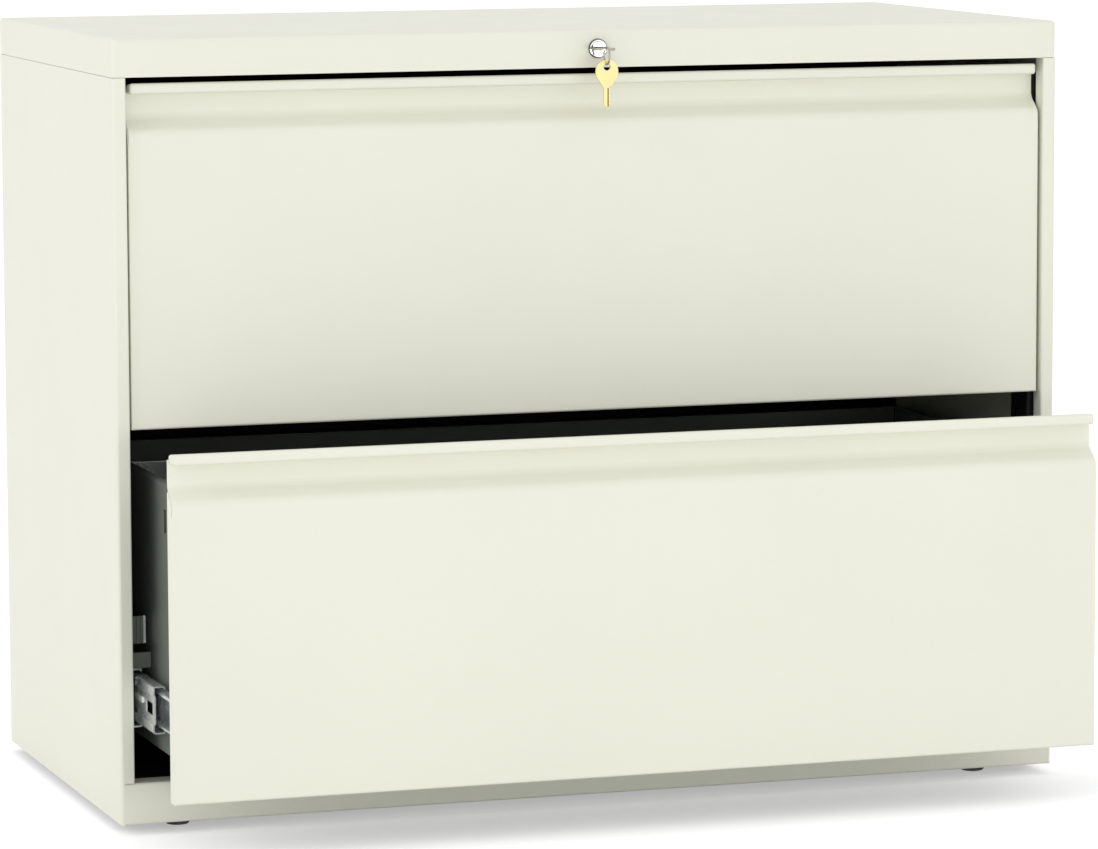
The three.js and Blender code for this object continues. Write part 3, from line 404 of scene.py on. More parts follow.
def lathe(bm, profile, axis, centre):
    """Turns a closed profile of (radius, along) about an axis through centre."""
    put = PLANES[axis]
    rings = []
    for across, up in circle(1.0, TURNED_STEPS):
        points = [Vector(put(radius * across, radius * up, along)) for radius, along in profile]
        rings.append([bm.verts.new(point + Vector(centre)) for point in points])
    for here, there in zip(rings, rings[1:] + rings[:1]):
        for k in range(len(profile)):
            n = (k + 1) % len(profile)
            bm.faces.new((here[k], here[n], there[n], there[k]))


def bar_with_round_ends(bm, lo, hi, radius, least, fall):
    """A bar along X with rounded corners and ends, whose top falls away towards the back."""
    rings = []

    def sloped(y, z):
        return z - fall * (y - lo[1]) / (hi[1] - lo[1]) * (z - lo[2]) / (hi[2] - lo[2])

    for end, sign in ((lo[0], 1.0), (hi[0], -1.0)):
        part = []
        for turn in quarter_turns(LIP_STEPS):
            inset = radius * (1.0 - math.sin(turn))
            along = end + sign * radius * (1.0 - math.cos(turn))
            outline = rounded_rectangle((lo[1] + inset, lo[2] + inset), (hi[1] - inset, hi[2] - inset),
                                        max(radius - inset, radius * least), LIP_STEPS)
            part.append([(along, y, sloped(y, z)) for y, z in outline])
        rings.extend(part if sign > 0.0 else part[::-1])
    loft(bm, rings)


def cleaned(bm):
    """Welds shared points, drops flat slivers and turns faces outwards."""
    bmesh.ops.remove_doubles(bm, verts=bm.verts, dist=WELD)
    bmesh.ops.dissolve_degenerate(bm, dist=SLIVER, edges=bm.edges)
    bmesh.ops.recalc_face_normals(bm, faces=bm.faces)


# Pieces

def placed(name, data):
    """A new object in the scene."""
    made = bpy.data.objects.new(name, data)
    bpy.context.scene.collection.objects.link(made)
    return made


def mesh_of(bm, name):
    """A mesh from a bmesh, which is freed."""
    mesh = bpy.data.meshes.new(name)
    bm.to_mesh(mesh)
    bm.free()
    return mesh


def evaluated(source):
    """The mesh of an object after its modifiers."""
    graph = bpy.context.evaluated_depsgraph_get()
    return bpy.data.meshes.new_from_object(source.evaluated_get(graph))


def discarded(made):
    """Takes an object and its mesh out again."""
    mesh = made.data
    bpy.data.objects.remove(made)
    bpy.data.meshes.remove(mesh)


def subtract(target, cutter):
    """Cuts one bmesh solid out of another and returns the rest as a bmesh."""
    pieces = []
    for bm, name in ((target, "target"), (cutter, "cutter")):
        cleaned(bm)
        pieces.append(placed(name, mesh_of(bm, name)))
    knife = pieces[0].modifiers.new("Cut", "BOOLEAN")
    knife.operation = "DIFFERENCE"
    knife.solver = "EXACT"
    knife.object = pieces[1]
    rest = evaluated(pieces[0])
    result = bmesh.new()
    result.from_mesh(rest)
    bpy.data.meshes.remove(rest)
    for piece in pieces:
        discarded(piece)
    return result


def shown(bm, name, body, finish, nodes=()):
    """Makes a finished piece from a bmesh: smooth with sharp folds, on its body, standing for CAD nodes."""
    cleaned(bm)
    for face in bm.faces:
        face.smooth = True
    for edge in bm.edges:
        if len(edge.link_faces) == 2:
            edge.smooth = edge.calc_face_angle(0.0) < SHARP
    source = placed(name + "_source", mesh_of(bm, name))
    weighted = source.modifiers.new("Flat faces first", "WEIGHTED_NORMAL")
    weighted.keep_sharp = True
    return settled(source, name, body, finish, nodes)


def settled(source, name, body, finish, nodes=()):
    """Turns an object with modifiers into a plain mesh piece that rides on a body."""
    mesh = evaluated(source)
    mesh.name = name
    discarded(source)
    mesh.materials.clear()
    mesh.materials.append(finish_named(finish))
    piece = placed(name, mesh)
    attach(piece, body)
    if nodes:
        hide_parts(*nodes)
    return piece


def two_toned(piece, finish, chosen):
    """Gives a second finish to the faces whose middles are chosen."""
    piece.data.materials.append(finish_named(finish))
    for polygon in piece.data.polygons:
        polygon.material_index = int(chosen(polygon.center))


def paint_node(name, finish):
    """Gives a CAD node its finish."""
    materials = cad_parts[name].data.materials
    materials.clear()
    materials.append(finish_named(finish))


# Node trees

def empty_tree(owner):
    """The cleared node tree of a material or world."""
    owner.use_nodes = True
    owner.node_tree.nodes.clear()
    return owner.node_tree


def node(tree, kind, x, y, **inputs):
    """Adds a node and sets its inputs by name; an output socket is linked, anything else is a value."""
    made = tree.nodes.new(kind)
    made.location = (x, y)
    for name, value in inputs.items():
        feed(tree, made.inputs[name.replace("_", " ")], value)
    return made


def feed(tree, target, value):
    """Links an input to an output socket, or sets its value."""
    if isinstance(value, bpy.types.NodeSocket):
        tree.links.new(value, target)
    else:
        target.default_value = value


def noise(tree, coordinates, scale, x, y, detail=3.0, roughness=0.5):
    """A noise value over object coordinates."""
    return node(tree, "ShaderNodeTexNoise", x, y, Vector=coordinates, Scale=scale, Detail=detail,
                Roughness=roughness).outputs["Fac"]


def ranged(tree, value, given, wanted, x, y):
    """Maps a value from one range to another."""
    return node(tree, "ShaderNodeMapRange", x, y, Value=value, From_Min=given[0], From_Max=given[1],
                To_Min=wanted[0], To_Max=wanted[1]).outputs["Result"]


def mixed(tree, factor, first, second, x, y):
    """Mixes two colours."""
    made = tree.nodes.new("ShaderNodeMix")
    made.data_type = "RGBA"
    made.location = (x, y)
    for index, value in ((0, factor), (6, first), (7, second)):
        feed(tree, made.inputs[index], value)
    return made.outputs[2]


# Finishes

NOISE_RANGE = (0.3, 0.7)  # where most of a noise value lies
WHOLE = (0.0, 1.0)
CLOUD_SCALE = 6.0
GLOSS_SCALE = 18.0
GLOSS_DETAIL = 4.0
SPECK_SCALE = 140.0
SPECK_DETAIL = 6.0
SPECK_ROUGHNESS = 0.65
SPECK_RANGE = (0.66, 0.74)
SPECK_SHADE = 0.72  # colour of a worn speck, as a share of the base colour
GRAIN_DETAIL = 2.0
GRAIN_DEPTH = 0.0004

# Colour setting, metallic, roughness, grain scale, bump, spread of the colour, wear and specular level
RECIPES = {
    "putty_paint": ("putty", 0.0, (0.36, 0.42), 420.0, 0.10, 0.008, 0.12, 0.3),
    "drawer_paint": ("drawer", 0.0, (0.42, 0.52), 420.0, 0.10, 0.03, 0.25, 0.5),
    "black_paint": ("black", 0.0, (0.45, 0.60), 380.0, 0.10, 0.06, 0.3, 0.3),
    "zinc": ("zinc", 0.75, (0.20, 0.32), 260.0, 0.10, 0.08, 0.3, 0.5),
    "raw_steel": ("steel", 0.9, (0.35, 0.55), 240.0, 0.15, 0.10, 0.4, 0.5),
    "chrome": ("chrome", 1.0, (0.08, 0.16), 500.0, 0.03, 0.02, 0.05, 0.5),
    # painted shade of the lock: dark ring round the bezel and the plug, and the keyway's walls
    "dark_rim": ("rim", 0.6, (0.30, 0.45), 500.0, 0.05, 0.05, 0.1, 0.5),
    "key_steel": ("nickel", 1.0, (0.20, 0.34), 600.0, 0.08, 0.05, 0.25, 0.5),
    "key_brass": ("brass", 0.6, (0.32, 0.46), 600.0, 0.10, 0.06, 0.3, 0.5),
    "key_groove": ("tarnish", 0.6, (0.40, 0.55), 600.0, 0.10, 0.06, 0.3, 0.5),
    "black_plastic": ("plastic", 0.0, (0.40, 0.55), 700.0, 0.12, 0.05, 0.2, 0.5),
    "nylon": ("nylon", 0.0, (0.40, 0.50), 500.0, 0.08, 0.03, 0.15, 0.5),
}
FINISHES = {}


def finish_named(name):
    """The finish of that name, made once."""
    if name not in FINISHES:
        FINISHES[name] = make_finish(name, *RECIPES[name])
    return FINISHES[name]


def opaque(base, factor=1.0):
    """An opaque colour, lighter or darker than base."""
    return tuple(min(1.0, channel * factor) for channel in base) + (1.0,)


def make_finish(name, tone, metallic, gloss, grain, bump, variety, wear, specular):
    """A procedural finish: clouded colour, worn specks, uneven gloss and fine grain."""
    base = tuple(getattr(settings("colours"), tone))
    material = bpy.data.materials.new(name)
    tree = empty_tree(material)
    coordinates = node(tree, "ShaderNodeTexCoord", -1200, 0).outputs["Object"]
    clouds = ranged(tree, noise(tree, coordinates, CLOUD_SCALE, -800, 300), NOISE_RANGE, WHOLE, -600, 300)
    tint = mixed(tree, clouds, opaque(base, 1.0 - variety), opaque(base, 1.0 + variety), -400, 300)
    specks = noise(tree, coordinates, SPECK_SCALE, -800, 550, SPECK_DETAIL, SPECK_ROUGHNESS)
    worn = ranged(tree, specks, SPECK_RANGE, (0.0, wear), -600, 550)
    tint = mixed(tree, worn, tint, opaque(base, SPECK_SHADE), -200, 400)
    uneven = noise(tree, coordinates, GLOSS_SCALE, -800, 0, GLOSS_DETAIL)
    roughness = ranged(tree, uneven, NOISE_RANGE, gloss, -600, 0)
    texture = noise(tree, coordinates, grain, -800, -300, GRAIN_DETAIL)
    relief = node(tree, "ShaderNodeBump", -400, -300, Strength=bump, Distance=GRAIN_DEPTH, Height=texture)
    shader = node(tree, "ShaderNodeBsdfPrincipled", 0, 0, Base_Color=tint, Metallic=metallic,
                  Roughness=roughness, Specular_IOR_Level=specular, Normal=relief.outputs["Normal"])
    node(tree, "ShaderNodeOutputMaterial", 300, 0, Surface=shader.outputs["BSDF"])
    return material


# Repeated small pieces

def repeat_tree(name):
    """A tree that puts one rounded body on every point: sizes by named inputs, then realized and finished."""
    tree = bpy.data.node_groups.new(name, "GeometryNodeTree")
    tree.is_modifier = True
    for label, kind in (("Geometry", "Geometry"), ("Radius", "Float"), ("Scale", "Vector"),
                        ("Segments", "Int"), ("Material", "Material")):
        tree.interface.new_socket(label, in_out="INPUT", socket_type="NodeSocket" + kind)
    tree.interface.new_socket("Geometry", in_out="OUTPUT", socket_type="NodeSocketGeometry")
    given = node(tree, "NodeGroupInput", 0, 0).outputs
    points = node(tree, "GeometryNodeMeshToPoints", 220, 0, Mesh=given["Geometry"]).outputs["Points"]
    sphere = node(tree, "GeometryNodeMeshUVSphere", 220, -200, Radius=given["Radius"],
                  Segments=given["Segments"], Rings=given["Segments"]).outputs["Mesh"]
    flat = node(tree, "GeometryNodeTransform", 440, -200, Geometry=sphere, Scale=given["Scale"])
    made = node(tree, "GeometryNodeInstanceOnPoints", 660, 0, Points=points,
                Instance=flat.outputs["Geometry"]).outputs["Instances"]
    for x, kind in ((880, "RealizeInstances"), (1100, "SetShadeSmooth")):
        made = node(tree, "GeometryNode" + kind, x, 0, Geometry=made).outputs["Geometry"]
    made = node(tree, "GeometryNodeSetMaterial", 1320, 0, Geometry=made, Material=given["Material"])
    node(tree, "NodeGroupOutput", 1540, 0, Geometry=made.outputs["Geometry"])
    return tree


def repeated(name, points, radius, scale, facets, body, finish):
    """One piece of like bodies, one on each point."""
    mesh = bpy.data.meshes.new(name + "_points")
    mesh.from_pydata([tuple(point) for point in points], [], [])
    source = placed(name + "_points", mesh)
    tree = bpy.data.node_groups.get("repeat_on_points") or repeat_tree("repeat_on_points")
    modifier = source.modifiers.new("Repeat", "NODES")
    modifier.node_group = tree
    values = {"Radius": radius, "Scale": scale, "Segments": facets, "Material": finish_named(finish)}
    for socket in tree.interface.items_tree:
        if socket.in_out == "INPUT" and socket.name in values:
            modifier[socket.identifier] = values[socket.name]
    return settled(source, name, body, finish)


# Operators

class CabinetBuild:
    """Shared running of the cabinet's operators."""
    bl_options = {"REGISTER", "UNDO"}

    def execute(self, context):
        """Builds the pieces; an error stops the run."""
        self.build()
        return {"FINISHED"}


class CABINET_OT_side_panels(CabinetBuild, bpy.types.Operator):
    """Folded side panels with the front posts"""
    bl_idname = "cabinet.side_panels"
    bl_label = "Side panels"

    def build(self):
        """Skin with its front corner and rear fold, post above the base rail and tongue inside the cap."""
        sizes = settings("case")
        rail_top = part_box("base_front_rail")[1].z
        skin_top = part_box("top_cap")[0].z - sizes.seam
        split = sizes.edge + sizes.seam
        inner = sizes.sheet + sizes.seam
        for side in SIDES:
            lo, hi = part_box(side + "_side_panel")
            inwards = inward_from(lo, hi, side)
            skin = bent_sheet([(split, FRONT), (0.0, FRONT), (0.0, hi.y), (sizes.rear_return, hi.y)],
                              sizes.sheet, sizes.edge)
            post = bent_sheet([(sizes.post, FRONT + sizes.jamb), (sizes.post, FRONT), (split, FRONT)],
                              sizes.sheet, sizes.post_bend)
            bm = bmesh.new()
            prism(bm, [(inwards(a), y) for a, y in skin], "Z", lo.z, skin_top)
            prism(bm, [(inwards(a), y) for a, y in post], "Z", rail_top + sizes.post_gap, skin_top)
            tongue = sorted((inwards(inner), inwards(inner + sizes.sheet)))
            block(bm, (tongue[0], FRONT + sizes.jamb, skin_top - sizes.jamb),
                  (tongue[1], hi.y - sizes.rear_return, hi.z))
            shown(bm, side + "_side", "case", "putty_paint", [side + "_side_panel"])


class CABINET_OT_top_cap(CabinetBuild, bpy.types.Operator):
    """Top cap with rolled edges"""
    bl_idname = "cabinet.top_cap"
    bl_label = "Top cap"

    def build(self):
        """A shell lofted from rounded rectangles, with the flange under its front and the lock's bore."""
        sizes, lock = settings("case"), settings("lock")
        lo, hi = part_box("top_cap")
        sheet, edge = sizes.sheet, sizes.cap_edge
        outer = [(0.0, lo.z)] + [(edge * (1.0 - math.cos(turn)), hi.z - edge * (1.0 - math.sin(turn)))
                                 for turn in quarter_turns(EDGE_STEPS)]
        inner = [(inset + sheet, min(height, hi.z - sheet)) for inset, height in outer]

        def ring(inset, height):
            corner = max(sizes.cap_corner - inset, sheet)
            outline = rounded_rectangle(
                (lo.x + inset, lo.y + inset), (hi.x - inset, hi.y - inset), corner, EDGE_STEPS)
            return [(x, y, height) for x, y in outline]

        bm = bmesh.new()
        loft(bm, [ring(*section) for section in inner[::-1] + outer])
        block(bm, (lo.x + sizes.flange_inset, lo.y + sheet + sizes.flange_gap, lo.z),
              (hi.x - sizes.flange_inset, lo.y + sizes.cap_flange, lo.z + sheet))
        drill = bmesh.new()
        bore = circle(lock.barrel + lock.fit, TURNED_STEPS, (0.0, centre_of("lock_housing", 2)))
        prism(drill, bore, "Y", lo.y - sheet, lo.y + 3.0 * sheet)
        shown(subtract(bm, drill), "cap", "case", "putty_paint", ["top_cap"])


class CABINET_OT_base_rail(CabinetBuild, bpy.types.Operator):
    """Folded rail across the base"""
    bl_idname = "cabinet.base_rail"
    bl_label = "Base rail"

    def build(self):
        """A channel section along X that meets the corner folds of the side panels."""
        sizes = settings("case")
        lo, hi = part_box("base_front_rail")
        outline = bent_sheet([(hi.y, lo.z), (lo.y, lo.z), (lo.y, hi.z), (hi.y, hi.z)],
                             sizes.sheet, sizes.rail_bend)
        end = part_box("right_side_panel")[1].x - sizes.edge - sizes.seam - sizes.joint
        bm = bmesh.new()
        prism(bm, outline, "X", -end, end)
        shown(bm, "base_rail", "case", "putty_paint", ["base_front_rail"])


class CABINET_OT_back_panel(CabinetBuild, bpy.types.Operator):
    """Back panel, painted dark on its inside as painted shade"""
    bl_idname = "cabinet.back_panel"
    bl_label = "Back panel"

    def build(self):
        """A folded sheet with the outside paint on its rear face only; its inside is painted near-black as
        painted shade.
        """
        sizes = settings("case")
        lo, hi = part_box("back_panel")
        outline = bent_sheet([(lo.x, lo.y), (lo.x, hi.y), (hi.x, hi.y), (hi.x, lo.y)],
                             sizes.sheet, sizes.back_bend)
        bm = bmesh.new()
        prism(bm, outline, "Z", lo.z, hi.z)
        back = shown(bm, "back", "case", "putty_paint", ["back_panel"])
        # painted shade: the faces on the inside of the back panel get the near-black paint
        two_toned(back, "black_paint", lambda middle: middle.y < hi.y - sizes.sheet / 2.0)


class CABINET_OT_inner_case(CabinetBuild, bpy.types.Operator):
    """Finishes of the case's inner pieces"""
    bl_idname = "cabinet.inner_case"
    bl_label = "Inner case"

    def build(self):
        """Pan, channels, weight, uprights and lock bars keep their CAD form."""
        # the near-black of the pan, channels and uprights is partly their paint and partly painted shade for
        # the deep inside of the case
        for finish, names in (
                ("black_paint", ["bottom_pan", "front_base_channel", "rear_base_channel"]),
                ("raw_steel", ["counterweight"]),
                ("black_paint", [corner + "_upright" for corner in CORNERS]),
                ("drawer_paint", ["interlock_bar"]),
                ("zinc", ["lock_link_bar", "lock_cam", "lock_nut"])):
            for name in names:
                paint_node(name, finish)


class CABINET_OT_drawer_heads(CabinetBuild, bpy.types.Operator):
    """Drawer heads with the formed pull"""
    bl_idname = "cabinet.drawer_heads"
    bl_label = "Drawer heads"

    def build(self):
        """Face with its bottom return, the swept recess, folded ends, a rolled lip and the hem behind."""
        sizes = settings("drawer")
        for drawer in DRAWERS:
            lo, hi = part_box(drawer + "_drawer_head")
            face, top, bottom, end = lo.y, hi.z, lo.z, hi.x
            hem_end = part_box(drawer + "_drawer_right_side")[1].x
            seam = end - sizes.end_edge
            split = top - sizes.sweep_bottom - sizes.sweep
            bm = bmesh.new()
            panel = bent_sheet([(face + sizes.fold, bottom), (face, bottom), (face, split)],
                               sizes.sheet, sizes.edge)
            prism(bm, panel, "X", -seam, seam)
            lip_top = top - sizes.lip_drop
            lip_bottom = lip_top - sizes.lip
            back = face + sizes.depth
            recess = bent_sheet(
                [(face, split), (face, top - sizes.sweep_bottom), (back, top - sizes.sweep_top),
                 (back, lip_bottom + sizes.lip_lap)], sizes.sheet, sizes.sweep)
            recess_end = end - sizes.recess_inset
            prism(bm, recess, "X", -recess_end, recess_end)
            plate = self.end_plate(recess, face, split, sizes)
            fold = bent_sheet([(seam, face), (end, face), (end, face + sizes.end_fold)],
                              -sizes.sheet, sizes.end_edge)
            for mirror in (-1.0, 1.0):
                prism(bm, [(x * mirror, y) for x, y in fold], "Z", bottom + sizes.gap, split)
                prism(bm, plate, "X", *sorted((mirror * end, mirror * (end - sizes.sheet))))
            lip_end = end - sizes.lip_inset
            bar_with_round_ends(bm, (-lip_end, face, lip_bottom), (lip_end, hi.y, lip_top),
                                sizes.lip_edge, sizes.lip_least, sizes.lip_fall)
            block(bm, (-hem_end, hi.y - sizes.sheet, top - sizes.hem),
                  (hem_end, hi.y, top - 2.0 * sizes.lip_edge))
            shown(bm, drawer + "_head", drawer + "_drawer", "putty_paint", [drawer + "_drawer_head"])

    def end_plate(self, recess, face, split, sizes):
        """Outline of the plate that carries an end return up behind the sweep of the pull."""
        back = face + sizes.end_fold
        curve = [(y + sizes.gap, z) for y, z in recess[len(recess) // 2:][::-1]]
        behind = [point for point in curve if point[0] < back]
        return behind + [(back, behind[-1][1]), (back, split)]


class CABINET_OT_drawer_bodies(CabinetBuild, bpy.types.Operator):
    """Drawer sides, and finishes of the pans and hang rails"""
    bl_idname = "cabinet.drawer_bodies"
    bl_label = "Drawer bodies"

    def build(self):
        """Folded sides with slots for the rails; pans and rails keep their CAD form."""
        for drawer in DRAWERS:
            for side in SIDES:
                self.drawer_side(drawer, side, settings("drawer"))
            paint_node(drawer + "_drawer_pan", "drawer_paint")
            for end in ("front", "rear"):
                paint_node(called(drawer, end, "hang_rail"), "zinc")

    def drawer_side(self, drawer, side, sizes):
        """One side with its two flanges and four slots."""
        name = called(drawer, "drawer", side, "side")
        lo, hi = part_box(name)
        inwards = inward_from(lo, hi, side)
        outline = bent_sheet(
            [(sizes.bottom_flange, lo.z), (0.0, lo.z), (0.0, hi.z), (sizes.top_flange, hi.z)],
            sizes.sheet, sizes.side_bend)
        bm = bmesh.new()
        prism(bm, [(inwards(a), z) for a, z in outline], "Y", lo.y, hi.y)
        front, rear = (centre_of(called(drawer, end, "hang_rail"), 1) for end in ("front", "rear"))
        top = hi.z - sizes.slot_drop
        half = sizes.slot_width / 2.0
        through = sorted((inwards(-sizes.sheet), inwards(2.0 * sizes.sheet)))
        slots = bmesh.new()
        for y in (front - sizes.far_lead, front, front + sizes.near_lag, rear):
            block(slots, (through[0], y - half, top - sizes.slot_height), (through[1], y + half, top))
        shown(subtract(bm, slots), called(drawer, side, "drawer_side"), drawer + "_drawer", "drawer_paint",
              [name])


class CABINET_OT_slides(CabinetBuild, bpy.types.Operator):
    """Telescoping slides"""
    bl_idname = "cabinet.slides"
    bl_label = "Slides"

    def build(self):
        """Formed middle members with nylon pads, clips on the brackets; the rest keeps its CAD form."""
        sizes = settings("slide")
        for drawer in DRAWERS:
            pads, clips = bmesh.new(), bmesh.new()
            for side in SIDES:
                for name in ("cabinet_slide", "drawer_slide", "outer_cage", "inner_cage"):
                    paint_node(called(drawer, side, name), "zinc")
                self.middle_member(drawer, side, sizes)
                self.pad(pads, called(drawer, side, "middle_slide"), side, sizes)
                self.clip(clips, called(drawer, side, "cabinet_slide"), side, sizes)
            shown(pads, drawer + "_slide_pads", drawer + "_middle_slides", "nylon")
            shown(clips, drawer + "_slide_clips", "case", "drawer_paint")

    def middle_member(self, drawer, side, sizes):
        """A channel with round ball tracks, a web stepped back between them and a window near each end."""
        name = called(drawer, side, "middle_slide")
        lo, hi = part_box(name)
        inwards = inward_from(lo, hi, side)
        middle, half, reach = (lo.z + hi.z) / 2.0, (hi.z - lo.z) / 2.0, hi.x - lo.x
        upper = [(reach, half - sizes.lip), (reach, half), (0.0, half), (0.0, sizes.step_half + sizes.step),
                 (sizes.step, sizes.step_half)]
        bends = [sizes.lip_bend, sizes.track_bend, sizes.step_bend, sizes.floor_bend]
        outline = bent_sheet(upper + [(a, -z) for a, z in upper[::-1]], -sizes.sheet, bends + bends[::-1])
        bm = bmesh.new()
        prism(bm, [(inwards(a), middle + z) for a, z in outline], "Y", lo.y, hi.y)
        windows = bmesh.new()
        through = sorted((inwards(-sizes.sheet), inwards(sizes.step + 2.0 * sizes.sheet)))
        along, upright = sizes.window_length / 2.0, sizes.window_height / 2.0
        for y in (lo.y + sizes.window_lead, hi.y - sizes.window_lead):
            block(windows, (through[0], y - along, middle - upright),
                  (through[1], y + along, middle + upright))
        shown(subtract(bm, windows), called(drawer, side, "middle_channel"), drawer + "_middle_slides",
              "zinc", [name])

    def pad(self, bm, name, side, sizes):
        """A nylon pad in the step of a middle member."""
        lo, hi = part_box(name)
        inwards = inward_from(lo, hi, side)
        middle = (lo.z + hi.z) / 2.0 + sizes.pad_rise
        front, half = lo.y + sizes.pad_lead, sizes.pad_height / 2.0
        outline = rounded_rectangle((front, middle - half), (front + sizes.pad_length, middle + half),
                                    sizes.pad_corner, PAD_STEPS)
        prism(bm, outline, "X", *sorted((inwards(sizes.pad_sink), inwards(sizes.step - sizes.pad_gap))))

    def clip(self, bm, name, side, sizes):
        """A ribbed clip over the bracket of a cabinet member."""
        lo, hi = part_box(name)
        inwards = inward_from(lo, hi, side)
        pitch = (hi.x - lo.x - sizes.clip_bare) / sizes.clip_ribs
        back = lo.y + sizes.clip_setback
        front = back - sizes.clip_sheet
        rib = front - sizes.clip_rib
        outline = [(pitch * sizes.clip_ribs, back), (0.0, back)]
        for i in range(sizes.clip_ribs):
            outline += [(pitch * i, front), (pitch * (i + 0.5), front), (pitch * (i + 0.5), rib),
                        (pitch * (i + 1.0), rib)]
        prism(bm, [(inwards(a), y) for a, y in outline], "Z", hi.z - sizes.clip_height, hi.z)


class CABINET_OT_ball_rows(CabinetBuild, bpy.types.Operator):
    """Full rows of balls"""
    bl_idname = "cabinet.ball_rows"
    bl_label = "Ball rows"

    def build(self):
        """Balls between those that the cages already hold."""
        sizes = settings("slide")
        for drawer in DRAWERS:
            for kind, inset in (("outer", sizes.outer_inset), ("inner", sizes.inner_inset)):
                points = []
                for side in SIDES:
                    points += self.row_points(called(drawer, side, kind, "cage"), side, inset, sizes)
                repeated(called(drawer, kind, "balls"), points, sizes.ball, (1.0, 1.0, 1.0),
                         sizes.ball_facets, called(drawer, kind, "cages"), "chrome")

    def row_points(self, name, side, inset, sizes):
        """Ball centres of one cage's two rows, apart from those in the CAD."""
        lo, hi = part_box(name)
        across = hi.x - inset if side == "left" else lo.x + inset
        middle = (lo.z + hi.z) / 2.0
        race = (hi.z - lo.z) / 2.0 - sizes.ball
        pitch = sizes.ball_pitch / sizes.ball_split
        gaps = int(round((hi.y - lo.y - 2.0 * sizes.overhang) / pitch))
        added = [i for i in range(gaps + 1) if i % sizes.ball_split]
        return [(across, lo.y + sizes.overhang + i * pitch, middle + race * row)
                for i in added for row in (-1.0, 1.0)]


class CABINET_OT_fasteners(CabinetBuild, bpy.types.Operator):
    """Rivets and screws of the drawer bodies"""
    bl_idname = "cabinet.fasteners"
    bl_label = "Fasteners"

    def build(self):
        """Low rivet heads where the slides join the drawer sides, and screw heads in the drawer fronts."""
        sizes = settings("slide")
        for drawer in DRAWERS:
            body = drawer + "_drawer"
            points = []
            for side in SIDES:
                lo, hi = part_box(called(drawer, side, "drawer_slide"))
                face = inward_from(*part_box(called(drawer, "drawer", side, "side")), side)(sizes.wall)
                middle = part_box(called(drawer, side, "cabinet_slide"))[0].z + sizes.slide_half
                points += [(face, lo.y + (hi.y - lo.y) * along, middle) for along in RIVETS]
            repeated(drawer + "_rivets", points, sizes.rivet, (sizes.rivet_rise, 1.0, 1.0), sizes.head_facets,
                     body, "zinc")
            lo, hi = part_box(drawer + "_drawer_pan")
            points = [(hi.x * across, lo.y + sizes.wall, lo.z + (hi.z - lo.z) * up)
                      for across in SCREW_COLUMNS for up in SCREW_ROWS]
            repeated(drawer + "_screws", points, sizes.screw, (1.0, sizes.screw_rise, 1.0), sizes.head_facets,
                     body, "zinc")


class CABINET_OT_glides(CabinetBuild, bpy.types.Operator):
    """Levelling glides"""
    bl_idname = "cabinet.glides"
    bl_label = "Glides"

    def build(self):
        """The glides keep their CAD form."""
        for corner in CORNERS:
            paint_node(corner + "_glide", "black_plastic")


class CABINET_OT_lock(CabinetBuild, bpy.types.Operator):
    """Cylinder lock with its plug"""
    bl_idname = "cabinet.lock"
    bl_label = "Lock"

    def build(self):
        """A turned bezel and barrel, and a plug with its keyway."""
        sizes = settings("lock")
        height = centre_of("lock_housing", 2)
        self.bezel(sizes, height)
        self.plug(sizes, height)

    def bezel(self, sizes, height):
        """The bezel's outer rim and the ring round the plug are painted dark: painted shade for the gap round
        the bezel and round the plug.
        """
        lo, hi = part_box("lock_housing")
        bore = sizes.plug + sizes.fit
        edge, seat = sizes.edge, FRONT - sizes.seat
        corner = sizes.edge_round * edge
        profile = [
            (bore, lo.y + sizes.bore_edge), (bore + sizes.bore_edge, lo.y), (sizes.face - edge, lo.y),
            (sizes.face - corner, lo.y + corner), (sizes.face, lo.y + edge), (sizes.face, seat),
            (sizes.barrel, seat), (sizes.barrel, hi.y), (bore, hi.y),
        ]
        bm = bmesh.new()
        lathe(bm, profile, "Y", (0.0, 0.0, height))
        bezel = shown(bm, "lock_bezel", "case", "chrome", ["lock_housing"])

        # painted shade: faces on the bezel's outer rim and round the plug get the dark colour
        def dark(middle):
            reach = math.hypot(middle.x, middle.z - height)
            return reach > sizes.face - edge or reach < bore + sizes.bore_edge

        two_toned(bezel, "dark_rim", dark)

    def plug(self, sizes, height):
        """The keyway's walls are painted dark: painted shade inside the keyway."""
        lo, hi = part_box("lock_plug")
        bm = bmesh.new()
        prism(bm, circle(sizes.plug, TURNED_STEPS, (0.0, height)), "Y", lo.y, hi.y)
        half = sizes.blade / 2.0 + sizes.keyway
        thick = sizes.key_thickness / 2.0 + sizes.keyway
        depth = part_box("key_in_lock")[1].y + sizes.fit
        slot = bmesh.new()
        block(slot, (-half, lo.y - sizes.edge, height - thick), (half, depth, height + thick))
        plug = shown(subtract(bm, slot), "plug", "lock_plug", "chrome", ["lock_plug"])

        # painted shade: the keyway's walls get the dark colour
        def dark(middle):
            inside = abs(middle.x) <= half + TOUCH and abs(middle.z - height) <= thick + TOUCH
            return inside and lo.y + sizes.fit < middle.y < hi.y - sizes.fit

        two_toned(plug, "dark_rim", dark)


